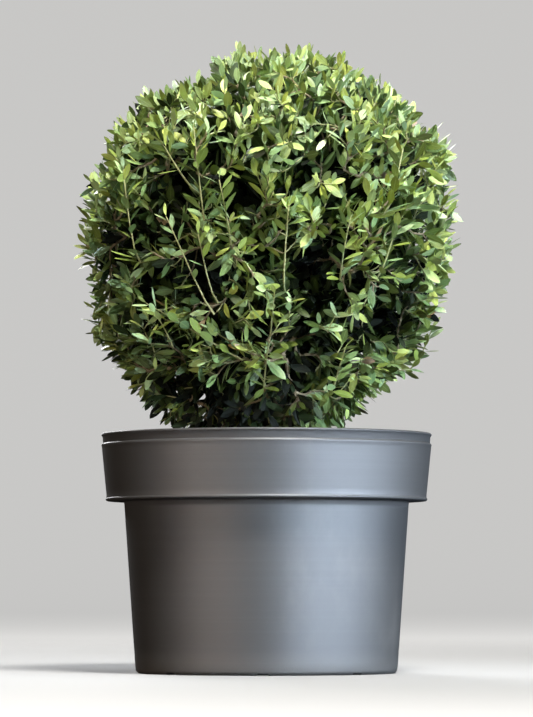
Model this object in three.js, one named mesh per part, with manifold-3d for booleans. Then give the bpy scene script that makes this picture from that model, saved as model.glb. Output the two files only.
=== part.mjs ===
// A potted Japanese holly clipped to a ball, standing in its grey nursery pot.
// Millimetres, +Z up, the plant's front faces -Y. The origin is the middle of the pot's flat underside.

import * as THREE from "three";
import { mergeVertices } from "three/addons/utils/BufferGeometryUtils.js";
import Module from "manifold-3d";

const wasm = await Module();
wasm.setup();

// Vertices closer than this are one
const WELD = 0.001;

// Pot: a tapered body under a wider rim band
const POT_HEIGHT = 161;
const RIM_RADIUS = 112;
const RIM_FOOT_RADIUS = 107.5;
const RIM_BAND = 45.5;
const BODY_RADIUS = 96;
const FOOT_RADIUS = 88;
const POT_WALL = 2.2;
const POT_FLOOR = 5;
const FOOT_CHAMFER = 3;
const LIP = 1.4;
const POT_SEGMENTS = 32;
const GROOVE_INNER = 54;
const GROOVE_OUTER = 72;
const GROOVE_HEIGHT = 2.5;
const DRAIN_COUNT = 8;
const DRAIN_RADIUS = 4.5;
const DRAIN_SIDES = 12;
const DRILL_LENGTH = 30;
const CHANNEL_WIDTH = 8;
const CHANNEL_HEIGHT = 1.5;
const CHANNEL_LENGTH = 30;
const BAND_FOOT = POT_HEIGHT - RIM_BAND;

// Soil and the fibre mulch that covers it
const CLEARANCE = 0.3;
const WALL_CLEARANCE = 0.5;
const SOIL_TOP = 138;
const MULCH_EDGE = 150;
const MULCH_MOUND = 6;
const MULCH_ROUGHNESS = 1.3;
const MULCH_DISH = 4;
const MULCH_SEGMENTS = 24;
const MULCH_RINGS = 5;

// Trunk and boughs
const TRUNK_BASE_RADIUS = 10.5;
const TRUNK_TOP_RADIUS = 6.4;
const FLARE_RADIUS = 8.5;
const FLARE_HEIGHT = 11;
const FLARE_LOBES = 5;
const FLARE_LOBE_DEPTH = 0.22;
const FORK_HEIGHT = 226;
const TRUNK_LEAN = [5, 3];
const BOUGH_STOP = 24;
const BOUGH_TAPER = 0.58;
const BOUGH_SPREAD = 0.75;
const STEM_TAPER = 0.6;
const TRUNK_SIDES = 14;
const TRUNK_RINGS = 9;
const LIMB_SIDES = 6;
const BOUGH_RINGS = 4;
const LIMB_SAMPLES = 24;
const BEND_HANDLE = 0.33;

// Crown: radius at each height of the clipped outline, from the pot's rim to the top
const CROWN_CENTRE = new THREE.Vector3(0, 0, 290);
const CROWN_PROFILE = [
  [163, 50],
  [183, 68],
  [205, 93],
  [225, 111],
  [250, 121],
  [280, 127],
  [325, 129],
  [351, 126],
  [365, 119],
  [379, 107],
  [391, 95],
  [403, 78],
  [414, 55],
  [421, 29],
  [424, 0],
];
const [FOOT_LEAN, TOP_LEAN] = [-6, 8];
const SWELL = 0.022;

// Hollows in the clipped surface: azimuth, elevation and half width in degrees, and the share that they sink.
// A share below zero swells out.
const HOLLOWS = [
  [-6, 13, 7, 0.2],
  [19, -13, 9, 0.32],
  [0, -10, 5, 0.14],
  [28, 17, 5, 0.1],
  [-36, 15, 8, 0.22],
  [-19, -14, 8, 0.2],
  [-14, 30, 6, 0.1],
  [-40, -18, 8, 0.16],
  [-60, -5, 8, 0.14],
  [22, -44, 8, 0.2],
  [-48, -58, 11, 0.18],
  [57, -29, 9, 0.2],
  [60, 50, 7, 0.16],
  [-43, 56, 8, 0.18],
  [-70, -55, 12, -0.08],
  [-88, 60, 10, 0.08],
  [118, 8, 10, 0.22],
  [196, -12, 11, 0.2],
  [235, 22, 9, 0.18],
  [160, 40, 9, 0.14],
  [-96, -14, 10, 0.2],
  [270, 34, 8, 0.14],
];

// Masses of foliage: rings of sites that each own the space nearest to them
const RINGS = [
  { name: "foliage_top", count: 1, turn: 0, elevation: 90, reach: 66, root: 226, girth: 4.4 },
  { name: "foliage_upper", count: 5, turn: -36, elevation: 36, reach: 68, root: 214, girth: 4.2 },
  { name: "foliage_middle", count: 6, turn: -18, elevation: -9, reach: 72, root: 196, girth: 4 },
  { name: "foliage_skirt", count: 5, turn: 8, elevation: -54, reach: 82, root: 167, girth: 3.4 },
];
const ROOT_STAGGER = 7;
const SPACE_GAP = 1.6;
const LIMB_GAP = 1.5;
const HOLLOW_HEART = 38;
const CORE_SHARE = 0.76;
const CORE_GAP = 3;
const CORE_LEAST = 4;
const CORE_MOST = 70;
const FOLIAGE_FLOOR = 163.5;

// Twigs and leaves: fewer and larger than life, as each stands for several
const TIP_COUNT = 116;
const TIP_REACH = 0.81;
const TIP_SCATTER = 0.05;
const LOW_REACH = 0.1;
const TWIG_RADIUS = 1.7;
const TWIG_TIP_RADIUS = 0.9;
const TWIG_SINK = 1.2;
const TURN_COST = 0.8;
const STEM_JOINTS = [0.45, 0.7, 1];
const TWIG_JOINTS = [0.4, 0.65];
const UPWARD_PULL = 0.55;
const LOW_PULL = 0.5;
const LEAF_LENGTH = 28;
const LEAF_WIDTH = 14;
const LEAF_THICKNESS = 1;
const LEAF_TILT = 46;
const TILT_SCATTER = 14;
const TERMINAL_TILT = 16;
const LEAF_SINK = 0.8;
const LEAF_WIDEST = 0.56;
const LEAF_FOLD = 1.4;
const LEAVES_PER_TWIG = 4;
const LEAF_ZONE = 21;
const GOLDEN_ANGLE = 137.508;

// Colours and finishes
const FINISHES = {
  pot_plastic: { color: 0x6b6d72, roughness: 0.42, metalness: 0 },
  soil: { color: 0x3a2b20, roughness: 1, metalness: 0 },
  mulch: { color: 0xa08663, roughness: 0.95, metalness: 0 },
  bark: { color: 0x8a7a63, roughness: 0.9, metalness: 0 },
  foliage: { color: 0x3d5a2a, roughness: 0.45, metalness: 0 },
};

const UP = new THREE.Vector3(0, 0, 1);
const radians = THREE.MathUtils.degToRad;

// A repeatable number from 0 to 1 for each pair of counters
function chance(a, b) {
  const wave = Math.sin(a * 12.9898 + b * 78.233) * 43758.5453;
  return wave - Math.floor(wave);
}

// The unit vector at an azimuth, counted from the front towards +X, and an elevation
function heading(azimuth, elevation) {
  const level = Math.cos(radians(elevation));
  return new THREE.Vector3(
    level * Math.sin(radians(azimuth)),
    -level * Math.cos(radians(azimuth)),
    Math.sin(radians(elevation)),
  );
}

// A closed three.js geometry as a manifold solid, and back again
function solidOf(geometry) {
  const bare = geometry.clone();
  bare.deleteAttribute("normal");
  bare.deleteAttribute("uv");
  const merged = mergeVertices(bare, WELD);
  const mesh = new wasm.Mesh({
    numProp: 3,
    vertProperties: merged.attributes.position.array,
    triVerts: new Uint32Array(merged.index.array),
  });
  return new wasm.Manifold(mesh);
}

function geometryOf(solid) {
  const mesh = solid.getMesh();
  const geometry = new THREE.BufferGeometry();
  geometry.setAttribute("position", new THREE.BufferAttribute(mesh.vertProperties, 3));
  geometry.setIndex(new THREE.BufferAttribute(mesh.triVerts, 1));
  return geometry.toNonIndexed();
}

function largestPiece(solid) {
  return solid.decompose().reduce((a, b) => (b.volume() > a.volume() ? b : a));
}

// A profile of [radius, height] points turned about the Z axis
function turned(profile, segments) {
  const points = profile.map(([radius, height]) => new THREE.Vector2(radius, height));
  return new THREE.LatheGeometry(points, segments).rotateX(Math.PI / 2);
}

// A limb: a cylinder whose rings are carried along a curve, with the radius given along it and round it
function limbGeometry(curve, radiusAt, sides, rings) {
  const geometry = new THREE.CylinderGeometry(1, 1, 1, sides, rings);
  const place = geometry.attributes.position;
  const side = new THREE.Vector3(0.31, 0.87, 0.38).cross(curve.getPoint(1).sub(curve.getPoint(0)));
  for (let i = 0; i < place.count; i++) {
    const along = place.getY(i) + 0.5;
    const angle = Math.atan2(place.getZ(i), place.getX(i));
    const out = Math.hypot(place.getX(i), place.getZ(i)) * radiusAt(along, angle);
    const ahead = curve.getTangent(along);
    const across = side.clone().addScaledVector(ahead, -side.dot(ahead)).normalize();
    const upright = across.clone().cross(ahead);
    const point = curve
      .getPoint(along)
      .addScaledVector(across, out * Math.cos(angle))
      .addScaledVector(upright, out * Math.sin(angle));
    place.setXYZ(i, point.x, point.y, point.z);
  }
  return geometry;
}

// A curve that leaves one way and arrives another
function bend(from, leaving, to, arriving) {
  const length = from.distanceTo(to);
  return new THREE.CubicBezierCurve3(
    from.clone(),
    from.clone().addScaledVector(leaving, BEND_HANDLE * length),
    to.clone().addScaledVector(arriving, -BEND_HANDLE * length),
    to.clone(),
  );
}

// The pot
function outerRadius(height) {
  return height < BAND_FOOT
    ? THREE.MathUtils.lerp(FOOT_RADIUS, BODY_RADIUS, height / BAND_FOOT)
    : THREE.MathUtils.lerp(RIM_FOOT_RADIUS, RIM_RADIUS, (height - BAND_FOOT) / RIM_BAND);
}

function potGeometry() {
  const inner = (height) => outerRadius(height) - POT_WALL;
  const shelf = BAND_FOOT + POT_WALL;
  const profile = [
    [0, 0],
    [GROOVE_INNER, 0],
    [GROOVE_INNER + 1, GROOVE_HEIGHT],
    [GROOVE_OUTER - 1, GROOVE_HEIGHT],
    [GROOVE_OUTER, 0],
    [FOOT_RADIUS - FOOT_CHAMFER, 0],
    [outerRadius(FOOT_CHAMFER), FOOT_CHAMFER],
    [BODY_RADIUS, BAND_FOOT],
    [RIM_FOOT_RADIUS - LIP, BAND_FOOT],
    [RIM_FOOT_RADIUS, BAND_FOOT + LIP],
    [RIM_RADIUS, POT_HEIGHT - LIP],
    [RIM_RADIUS - LIP / 2, POT_HEIGHT],
    [inner(POT_HEIGHT) - LIP / 2, POT_HEIGHT],
    [inner(POT_HEIGHT), POT_HEIGHT - LIP],
    [inner(shelf + LIP), shelf],
    [BODY_RADIUS - POT_WALL, shelf - LIP],
    [inner(POT_FLOOR), POT_FLOOR],
    [0, POT_FLOOR],
  ];
  let pot = solidOf(turned(profile, POT_SEGMENTS));
  for (let i = 0; i < DRAIN_COUNT; i++) {
    const angle = (2 * Math.PI * i) / DRAIN_COUNT;
    const middle = (GROOVE_INNER + GROOVE_OUTER) / 2;
    const hole = new THREE.CylinderGeometry(DRAIN_RADIUS, DRAIN_RADIUS, DRILL_LENGTH, DRAIN_SIDES)
      .rotateX(Math.PI / 2)
      .translate(middle, 0, 0)
      .rotateZ(angle);
    const channel = new THREE.BoxGeometry(CHANNEL_LENGTH, CHANNEL_WIDTH, 2 * CHANNEL_HEIGHT)
      .translate(GROOVE_OUTER - 2 + CHANNEL_LENGTH / 2, 0, 0)
      .rotateZ(angle);
    pot = pot.subtract(solidOf(hole)).subtract(solidOf(channel));
  }
  return geometryOf(pot);
}

// The soil fills the pot up to below the rim
function soilGeometry() {
  const inner = (height) => outerRadius(height) - POT_WALL - WALL_CLEARANCE;
  const foot = POT_FLOOR + CLEARANCE;
  const shelf = BAND_FOOT + POT_WALL + WALL_CLEARANCE;
  const profile = [
    [0, foot],
    [inner(foot), foot],
    [BODY_RADIUS - POT_WALL - WALL_CLEARANCE, shelf - 1],
    [inner(shelf + LIP) - 0.5, shelf + LIP],
    [inner(SOIL_TOP), SOIL_TOP],
    [0, SOIL_TOP],
  ];
  return turned(profile, POT_SEGMENTS);
}

// The mulch is mounded, dished round the trunk that is cut out of it, and rough on top
function mulchGeometry() {
  const foot = SOIL_TOP + CLEARANCE;
  const edge = outerRadius(MULCH_EDGE) - POT_WALL - 2 * WALL_CLEARANCE;
  const profile = [[0, foot], [outerRadius(foot) - POT_WALL - 2 * WALL_CLEARANCE, foot]];
  for (let i = 0; i <= MULCH_RINGS; i++) {
    const share = i / MULCH_RINGS;
    const mound = MULCH_MOUND * Math.sin(Math.PI * share) - MULCH_DISH * share ** 3;
    profile.push([edge * (1 - share), MULCH_EDGE + mound]);
  }
  const geometry = turned(profile, MULCH_SEGMENTS);
  const place = geometry.attributes.position;
  for (let i = 0; i < place.count; i++) {
    const [x, y, z] = [place.getX(i), place.getY(i), place.getZ(i)];
    const ripple = Math.sin(0.31 * x + 1.7) * Math.cos(0.27 * y) + Math.sin(0.13 * (x - y));
    if (z > foot + 1) place.setZ(i, z + MULCH_ROUGHNESS * ripple);
  }
  return geometryOf(solidOf(geometry).subtract(limbsGrown[0]));
}

// The trunk leans a little and flares at the soil, where it is cut flat
const trunkFoot = SOIL_TOP + CLEARANCE;
const trunkCurve = new THREE.CatmullRomCurve3([
  new THREE.Vector3(0, 0, trunkFoot),
  new THREE.Vector3(0, 0, trunkFoot + 14),
  new THREE.Vector3(0.7 * TRUNK_LEAN[0], 0.2 * TRUNK_LEAN[1], trunkFoot + 46),
  new THREE.Vector3(...TRUNK_LEAN, FORK_HEIGHT),
]);
const trunkLength = FORK_HEIGHT - trunkFoot;

function trunkRadius(along, angle) {
  const flare = FLARE_RADIUS * Math.exp((-along * trunkLength) / FLARE_HEIGHT);
  const lobes = 1 + FLARE_LOBE_DEPTH * Math.cos(FLARE_LOBES * angle + 0.6);
  return THREE.MathUtils.lerp(TRUNK_BASE_RADIUS, TRUNK_TOP_RADIUS, along) + flare * lobes;
}

function trunkAt(height) {
  return trunkCurve.getPoint(THREE.MathUtils.clamp((height - trunkFoot) / trunkLength, 0, 1));
}

// The crown's clipped outline: how far it reaches from the crown's centre in a direction
function profileRadius(height) {
  const above = CROWN_PROFILE.findIndex(([level]) => level >= height);
  if (above <= 0) return above === 0 && height >= CROWN_PROFILE[0][0] ? CROWN_PROFILE[0][1] : 0;
  const [[z0, r0], [z1, r1]] = [CROWN_PROFILE[above - 1], CROWN_PROFILE[above]];
  return THREE.MathUtils.lerp(r0, r1, (height - z0) / (z1 - z0));
}

function crownLean(height) {
  const [[foot], [top]] = [CROWN_PROFILE[0], CROWN_PROFILE.at(-1)];
  return THREE.MathUtils.lerp(FOOT_LEAN, TOP_LEAN, (height - foot) / (top - foot));
}

function crownReach(direction) {
  const level = Math.hypot(direction.x, direction.y);
  let [inside, outside] = [0, 200];
  for (let i = 0; i < 18; i++) {
    const middle = (inside + outside) / 2;
    const height = CROWN_CENTRE.z + middle * direction.z;
    const far = Math.hypot(middle * direction.x - crownLean(height), middle * direction.y);
    if (far < profileRadius(height)) inside = middle;
    else outside = middle;
  }
  const azimuth = Math.atan2(direction.x, -direction.y);
  const swell = Math.sin(5 * azimuth + 1.3) * Math.cos(4 * direction.z + 0.4);
  let share = 1 + SWELL * level * swell;
  for (const [turn, elevation, width, depth] of HOLLOWS) {
    const apart = direction.angleTo(heading(turn, elevation)) / radians(width);
    share -= depth * Math.exp(-apart * apart);
  }
  return inside * share;
}

// Twigs and cores reach a larger share of the way where the crown faces down, as its leaves turn up
function shareOf(direction, share) {
  return share + LOW_REACH * Math.max(0, -direction.z);
}

// Each site of the rings owns the space nearest to it
const sites = RINGS.flatMap((ring, level) =>
  Array.from({ length: ring.count }, (_, i) => {
    const azimuth = ring.turn + (360 * i) / ring.count;
    const place = heading(azimuth, ring.elevation).multiplyScalar(ring.reach).add(CROWN_CENTRE);
    const name = ring.count > 1 ? `${ring.name}_${i + 1}` : ring.name;
    const root = ring.root - ROOT_STAGGER * (i % 2);
    return { ...ring, name, place, root, seed: 10 * level + i + 1 };
  }),
);

function nearestSite(point) {
  const distances = sites.map((site) => site.place.distanceTo(point));
  return sites[distances.indexOf(Math.min(...distances))];
}

function inOwnSpace(point, site, gap) {
  const own = site.place.distanceToSquared(point);
  return sites.every((other) => {
    if (other === site) return true;
    const between = 2 * site.place.distanceTo(other.place);
    return (other.place.distanceToSquared(point) - own) / between > gap;
  });
}

// Boughs climb from the trunk towards their sites and stop where the mass begins
for (const site of sites) {
  const root = trunkAt(site.root);
  const towards = site.place.clone().sub(root);
  const out = new THREE.Vector3(towards.x, towards.y, 0).normalize();
  const leaving = out.multiplyScalar(BOUGH_SPREAD).add(UP).normalize();
  const arriving = towards.clone().normalize();
  const end = site.place.clone().addScaledVector(arriving, -BOUGH_STOP);
  site.bough = bend(root, leaving, end, arriving);
  site.boughRadius = (along) => site.girth * THREE.MathUtils.lerp(1, BOUGH_TAPER, along);
  site.stemStart = end.clone().addScaledVector(arriving, CLEARANCE);
  site.stemHeading = arriving;
}

// The trunk and the boughs grown by the clearance, for cutting their neighbours clear of them
const limbsGrown = [
  [trunkCurve, trunkRadius, TRUNK_SIDES, TRUNK_RINGS],
  ...sites.map((site) => [site.bough, site.boughRadius, LIMB_SIDES, BOUGH_RINGS]),
].map(([curve, radiusAt, sides, rings]) => {
  const wider = (along, angle) => radiusAt(along, angle) + CLEARANCE;
  return solidOf(limbGeometry(curve, wider, sides, rings));
});

// Sampled limbs, for keeping foliage off them
const limbSamples = [
  [trunkCurve, (along) => trunkRadius(along, 0)],
  ...sites.map((site) => [site.bough, site.boughRadius]),
].flatMap(([curve, radiusAt]) =>
  Array.from({ length: LIMB_SAMPLES + 1 }, (_, i) => ({
    point: curve.getPoint(i / LIMB_SAMPLES),
    radius: radiusAt(i / LIMB_SAMPLES),
  })),
);

function clearOfLimbs(point, gap) {
  return limbSamples.every(({ point: at, radius }) => at.distanceTo(point) > radius + gap);
}

function clearOfPot(point) {
  return point.z > FOLIAGE_FLOOR;
}

// The core is a small blob round the site that stays in its own space, inside the leaves
function coreGeometry(site) {
  const geometry = new THREE.IcosahedronGeometry(1, 1);
  const place = geometry.attributes.position;
  const direction = new THREE.Vector3();
  for (let i = 0; i < place.count; i++) {
    direction.fromBufferAttribute(place, i).normalize();
    let reach = CORE_LEAST;
    for (; reach < CORE_MOST; reach++) {
      const point = site.place.clone().addScaledVector(direction, reach);
      const outward = point.clone().sub(CROWN_CENTRE);
      const far = outward.length();
      outward.normalize();
      if (far < HOLLOW_HEART || far > shareOf(outward, CORE_SHARE) * crownReach(outward)) break;
      if (!inOwnSpace(point, site, CORE_GAP) || !clearOfLimbs(point, CORE_GAP)) break;
      if (!clearOfPot(point)) break;
    }
    direction.multiplyScalar(reach - 1).add(site.place);
    place.setXYZ(i, direction.x, direction.y, direction.z);
  }
  return geometry;
}

// A leaf of eight faces: widest past its middle, a little folded along its rib
function leafGeometry(root, along, face, length) {
  const across = along.clone().cross(face).normalize();
  const at = (forward, aside, lift) =>
    root
      .clone()
      .addScaledVector(along, forward * length)
      .addScaledVector(across, aside)
      .addScaledVector(face, lift);
  const corners = [
    at(0, 0, 0),
    at(1, 0, -LEAF_FOLD),
    at(LEAF_WIDEST, LEAF_WIDTH / 2, LEAF_FOLD),
    at(LEAF_WIDEST, -LEAF_WIDTH / 2, LEAF_FOLD),
    at(0.5, 0, LEAF_THICKNESS / 2),
    at(0.5, 0, -LEAF_THICKNESS / 2),
  ];
  const faces = [0, 2, 4, 2, 1, 4, 1, 3, 4, 3, 0, 4, 2, 0, 5, 1, 2, 5, 3, 1, 5, 0, 3, 5];
  const geometry = new THREE.BufferGeometry().setFromPoints(corners);
  geometry.setIndex(faces);
  return { geometry, corners };
}

// Twig tips lie on a golden spiral over the clipped outline, each in the space of its nearest site
function tipsOf(site) {
  const tips = [];
  for (let i = 0; i < TIP_COUNT; i++) {
    const rise = 1 - (2 * (i + 0.5)) / TIP_COUNT;
    const elevation = (Math.asin(rise) * 180) / Math.PI;
    const direction = heading(i * GOLDEN_ANGLE, elevation);
    const share = shareOf(direction, TIP_REACH) + TIP_SCATTER * (chance(i, 1) - 0.5);
    const reach = share * crownReach(direction);
    const point = CROWN_CENTRE.clone().addScaledVector(direction, reach);
    if (nearestSite(point) !== site || !clearOfPot(point)) continue;
    if (inOwnSpace(point, site, SPACE_GAP)) tips.push({ point, direction, number: i });
  }
  return tips.sort((a, b) => a.point.distanceTo(site.place) - b.point.distanceTo(site.place));
}

// Each tip grows from the joint of the growing branchwork that costs the least length and turning
function branchworkOf(site) {
  const start = site.stemStart;
  const stem = new THREE.LineCurve3(start, site.place.clone());
  const girth = site.boughRadius(1);
  const joints = STEM_JOINTS.map((along) => ({
    point: stem.getPoint(along),
    ahead: site.stemHeading,
    radius: girth * (1 - (1 - STEM_TAPER) * along),
  }));
  const twigs = [];
  for (const tip of tipsOf(site)) {
    const cost = ({ point, ahead }) => {
      const way = tip.point.clone().sub(point);
      return way.length() * (1 + TURN_COST * (1 - way.normalize().dot(ahead)));
    };
    const joint = joints.reduce((a, b) => (cost(b) < cost(a) ? b : a));
    const pull = UPWARD_PULL + LOW_PULL * tip.direction.z;
    const arriving = tip.direction.clone().addScaledVector(UP, pull).normalize();
    const from = joint.point.clone().addScaledVector(joint.ahead, -TWIG_SINK);
    const curve = bend(from, joint.ahead, tip.point, arriving);
    const thick = Math.min(TWIG_RADIUS, joint.radius);
    const radiusAt = (along) => THREE.MathUtils.lerp(thick, TWIG_TIP_RADIUS, along);
    twigs.push({ curve, radiusAt, number: tip.number });
    for (const along of TWIG_JOINTS) {
      const point = curve.getPoint(along);
      joints.push({ point, ahead: curve.getTangent(along), radius: radiusAt(along) });
    }
  }
  return { stem, girth, twigs };
}

// Leaves wind round the outer end of a twig by the golden angle, upper faces towards its tip
function leavesOf(twig) {
  const length = twig.curve.getLength();
  const leaves = [];
  for (let i = 0; i < LEAVES_PER_TWIG; i++) {
    const along = 1 - (LEAF_ZONE / length) * (i / (LEAVES_PER_TWIG - 1));
    if (along < 0.15) continue;
    const ahead = twig.curve.getTangent(along);
    const turn = radians(i * GOLDEN_ANGLE + 360 * chance(twig.number, 2));
    const side = new THREE.Vector3(1, 0.2, 0.1).cross(ahead).normalize().applyAxisAngle(ahead, turn);
    const lean = LEAF_TILT + TILT_SCATTER * (chance(twig.number, i + 3) - 0.5);
    const tilt = radians(i === 0 ? TERMINAL_TILT : lean);
    const way = ahead.clone().multiplyScalar(Math.cos(tilt)).addScaledVector(side, Math.sin(tilt));
    const face = ahead.clone().addScaledVector(way, -ahead.dot(way)).normalize();
    const root = twig.curve.getPoint(along).addScaledVector(way, -LEAF_SINK * twig.radiusAt(along));
    const size = LEAF_LENGTH * (0.88 + 0.24 * chance(twig.number, i + 20));
    leaves.push(leafGeometry(root, way, face, size));
  }
  return leaves;
}

// One mass: its core, stem, twigs and the leaves that keep to its space, fused, welded and rid of scraps
function massGeometry(site) {
  const { stem, girth, twigs } = branchworkOf(site);
  const fits = (point) =>
    inOwnSpace(point, site, SPACE_GAP / 2) && clearOfLimbs(point, LIMB_GAP) && clearOfPot(point);
  const stemRadius = (along) => girth * (1 - (1 - STEM_TAPER) * along);
  let core = solidOf(coreGeometry(site));
  for (const limb of limbsGrown) core = core.subtract(limb);
  const parts = [largestPiece(core), solidOf(limbGeometry(stem, stemRadius, LIMB_SIDES, 1))];
  for (const twig of twigs) {
    const inside = [0.25, 0.5, 0.75, 1].every((along) => fits(twig.curve.getPoint(along)));
    if (!inside) continue;
    parts.push(solidOf(limbGeometry(twig.curve, twig.radiusAt, 3, 2)));
    for (const leaf of leavesOf(twig)) {
      if (leaf.corners.slice(1).every(fits)) parts.push(solidOf(leaf.geometry));
    }
  }
  const fused = geometryOf(largestPiece(wasm.Manifold.union(parts)));
  return geometryOf(largestPiece(solidOf(fused)));
}

// Each bough is cut clear of the trunk and of the boughs made before it
function boughGeometries() {
  return sites.map((site, i) => {
    let bough = solidOf(limbGeometry(site.bough, site.boughRadius, LIMB_SIDES, BOUGH_RINGS));
    for (const other of limbsGrown.slice(0, i + 1)) bough = bough.subtract(other);
    return geometryOf(largestPiece(bough));
  });
}

const plant = new THREE.Group();

function add(name, geometry, finish) {
  const mesh = new THREE.Mesh(geometry, new THREE.MeshStandardMaterial(FINISHES[finish]));
  mesh.name = name;
  plant.add(mesh);
}

add("pot", potGeometry(), "pot_plastic");
add("potting_soil", soilGeometry(), "soil");
add("fibre_mulch", mulchGeometry(), "mulch");
add("trunk", limbGeometry(trunkCurve, trunkRadius, TRUNK_SIDES, TRUNK_RINGS), "bark");
boughGeometries().forEach((geometry, i) => {
  add(sites[i].name.replace("foliage", "bough"), geometry, "bark");
});
for (const site of sites) add(site.name, massGeometry(site), "foliage");

export default plant;
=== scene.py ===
"""A potted Japanese holly clipped to a ball: its looks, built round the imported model.

Lengths are in millimetres, as in the part's source, until a mesh is made from them in metres.
The crown grows by the source's rule, carried on to finer twigs and leaves of their real size.
"""

import math

import bpy
import numpy as np
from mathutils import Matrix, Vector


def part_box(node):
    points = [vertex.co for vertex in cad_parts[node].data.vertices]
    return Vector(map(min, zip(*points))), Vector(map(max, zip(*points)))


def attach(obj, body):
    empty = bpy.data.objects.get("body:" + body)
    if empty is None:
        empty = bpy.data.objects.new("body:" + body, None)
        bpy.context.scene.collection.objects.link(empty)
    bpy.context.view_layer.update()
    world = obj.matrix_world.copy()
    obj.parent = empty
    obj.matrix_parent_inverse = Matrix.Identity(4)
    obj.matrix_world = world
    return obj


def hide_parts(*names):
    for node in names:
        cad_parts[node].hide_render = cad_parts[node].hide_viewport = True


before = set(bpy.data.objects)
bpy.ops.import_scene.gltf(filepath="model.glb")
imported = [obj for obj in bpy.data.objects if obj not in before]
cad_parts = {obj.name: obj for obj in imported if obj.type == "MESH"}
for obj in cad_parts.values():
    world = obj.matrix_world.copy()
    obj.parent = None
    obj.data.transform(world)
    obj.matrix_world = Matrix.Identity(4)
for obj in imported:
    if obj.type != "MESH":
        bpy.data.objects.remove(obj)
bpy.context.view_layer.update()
MM = 0.001
UP = np.array([0.0, 0.0, 1.0])

# Pot: its height and widths come from the frame. A faint ring is a height, half width and swell, and a
# straight stretch runs from one height to another.
POT_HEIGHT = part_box("pot")[1].z / MM
RIM_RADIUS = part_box("pot")[1].x / MM
RIM_BAND = 45.5
BAND_FOOT = POT_HEIGHT - RIM_BAND
RIM_FOOT_RADIUS = RIM_RADIUS - 4.5
BODY_RADIUS = RIM_RADIUS - 16
FOOT_RADIUS = RIM_RADIUS - 24
POT_WALL, POT_FLOOR = 2.2, 5
FOOT_FLAT, FOOT_FILLET = 6, 3
BAND_FILLET, BEAD = 1.2, 0.9
LIP_BAND, LIP_RECESS, LEDGE_FILLET = 6.6, 1.0, 1.5
COLLAR_DRAFT, CREASE_HEIGHT, COLLAR_SHOULDER = 0.2, 0.6, 2.6
LIP_FILLET, INNER_LIP_FILLET, LIP_INSET = 1.0, 0.9, 0.6
SHELF_RISE, SHELF_CHAMFER, FLOOR_CHAMFER = 6, 1.4, 2
FAINT_RINGS = [(101, 1.6, 0.1), (15, 2, -0.12)]
GROOVE_INNER, GROOVE_OUTER, GROOVE_HEIGHT = 54, 72, 2.5
DRAIN_COUNT, DRAIN_RADIUS, DRAIN_REACH, DRAIN_SEGMENTS = 8, 4.5, 10, 20
CHANNEL_LENGTH, CHANNEL_WIDTH, CHANNEL_HEIGHT, CHANNEL_OVERLAP = 30, 8, 1.5, 2
BODY_STRAIGHT = (FOOT_FILLET + 2, BAND_FOOT - 3)
BAND_STRAIGHT = (BAND_FOOT + 3 * BAND_FILLET, POT_HEIGHT - LIP_BAND - 2.2)
BODY_RINGS, BAND_RINGS, POT_SEGMENTS, SHARP_ANGLE = 34, 12, 192, 32

# Mulch: a mounded bed with loose fibres and chips on it, whose half sizes run from least to most
MULCH_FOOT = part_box("fibre_mulch")[0].z / MM
MULCH_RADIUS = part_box("fibre_mulch")[1].x / MM
MULCH_EDGE = 150
MULCH_MOUND, MULCH_DISH, MULCH_ROUGHNESS = 6, 4, 1.3
BED_RINGS, BED_SEGMENTS, BED_SINK = 60, 150, 0.4
BED_MARGIN, BED_CHAMFER = 0.2, 1
BARE_RADIUS, LOOSE_MARGIN, FIBRE_MARGIN, CHIP_MARGIN = 17, 3, 2, 0.8
FIBRE_COUNT, FIBRE_RINGS, FIBRE_HALVES, FIBRE_CURVE = 2600, 5, (4, 15), 0.28
HIGHEST_FIBRE = POT_HEIGHT + 1.5
FIBRE_LIFTS, FIBRE_TILT, FIBRE_RISE, FIBRE_TAPER = (0.1, 1.6), 0.9, 0.5, 0.45
CHIP_COUNT, CHIP_HALVES = 1500, ((2, 6), (0.8, 2.2), (0.25, 0.6))
CHIP_NARROWING, CHIP_SKEW, CHIP_TILTS, CHIP_LIFT = 0.6, 0.5, (0.22, 0.25), 1.1

# Trunk and boughs: sides and rings tell how finely a limb is meshed, and relief how deep its bark is
TRUNK_FOOT, FORK_HEIGHT = (corner.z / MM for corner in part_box("trunk"))
TRUNK_BASE_RADIUS, TRUNK_TOP_RADIUS = 10.5, 6.4
TRUNK_SIDES, TRUNK_RINGS, TRUNK_RELIEF = 56, 150, 0.045
FLARE_RADIUS, FLARE_HEIGHT = 8.5, 11
FLARE_LOBES, FLARE_LOBE_DEPTH, FLARE_TURN = 5, 0.22, 0.6
TRUNK_LEAN = (5, 3)
UPRIGHT_LENGTH, LEANING_FROM = 14, 46
BOUGH_STOP, BOUGH_TAPER, BOUGH_SPREAD = 24, 0.58, 0.75
BOUGH_SIDES, BOUGH_RINGS, BOUGH_RELIEF = 20, 64, 0.06
COLLAR_SWELL, COLLAR_FADE = 0.3, 9
STEM_SIDES, STEM_RINGS, STEM_TAPER, STEM_OVERLAP = 12, 12, 0.6, 1
STEM_CLEARANCE = 0.3
BEND_HANDLE = 0.33

# Crown: radius at each height of the clipped outline
CROWN_CENTRE = np.array([0.0, 0.0, 290.0])
CROWN_PROFILE = np.array(
    [
        [163, 50], [183, 68], [205, 93], [225, 111], [250, 121], [280, 127], [325, 129], [351, 126],
        [365, 119], [379, 107], [391, 95], [403, 78], [414, 55], [421, 29], [424, 0],
    ],
    float,
)
FOOT_LEAN, TOP_LEAN = -6, 8
SWELL = 0.022
FAR_OUTSIDE, HALVINGS = 200.0, 18

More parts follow.
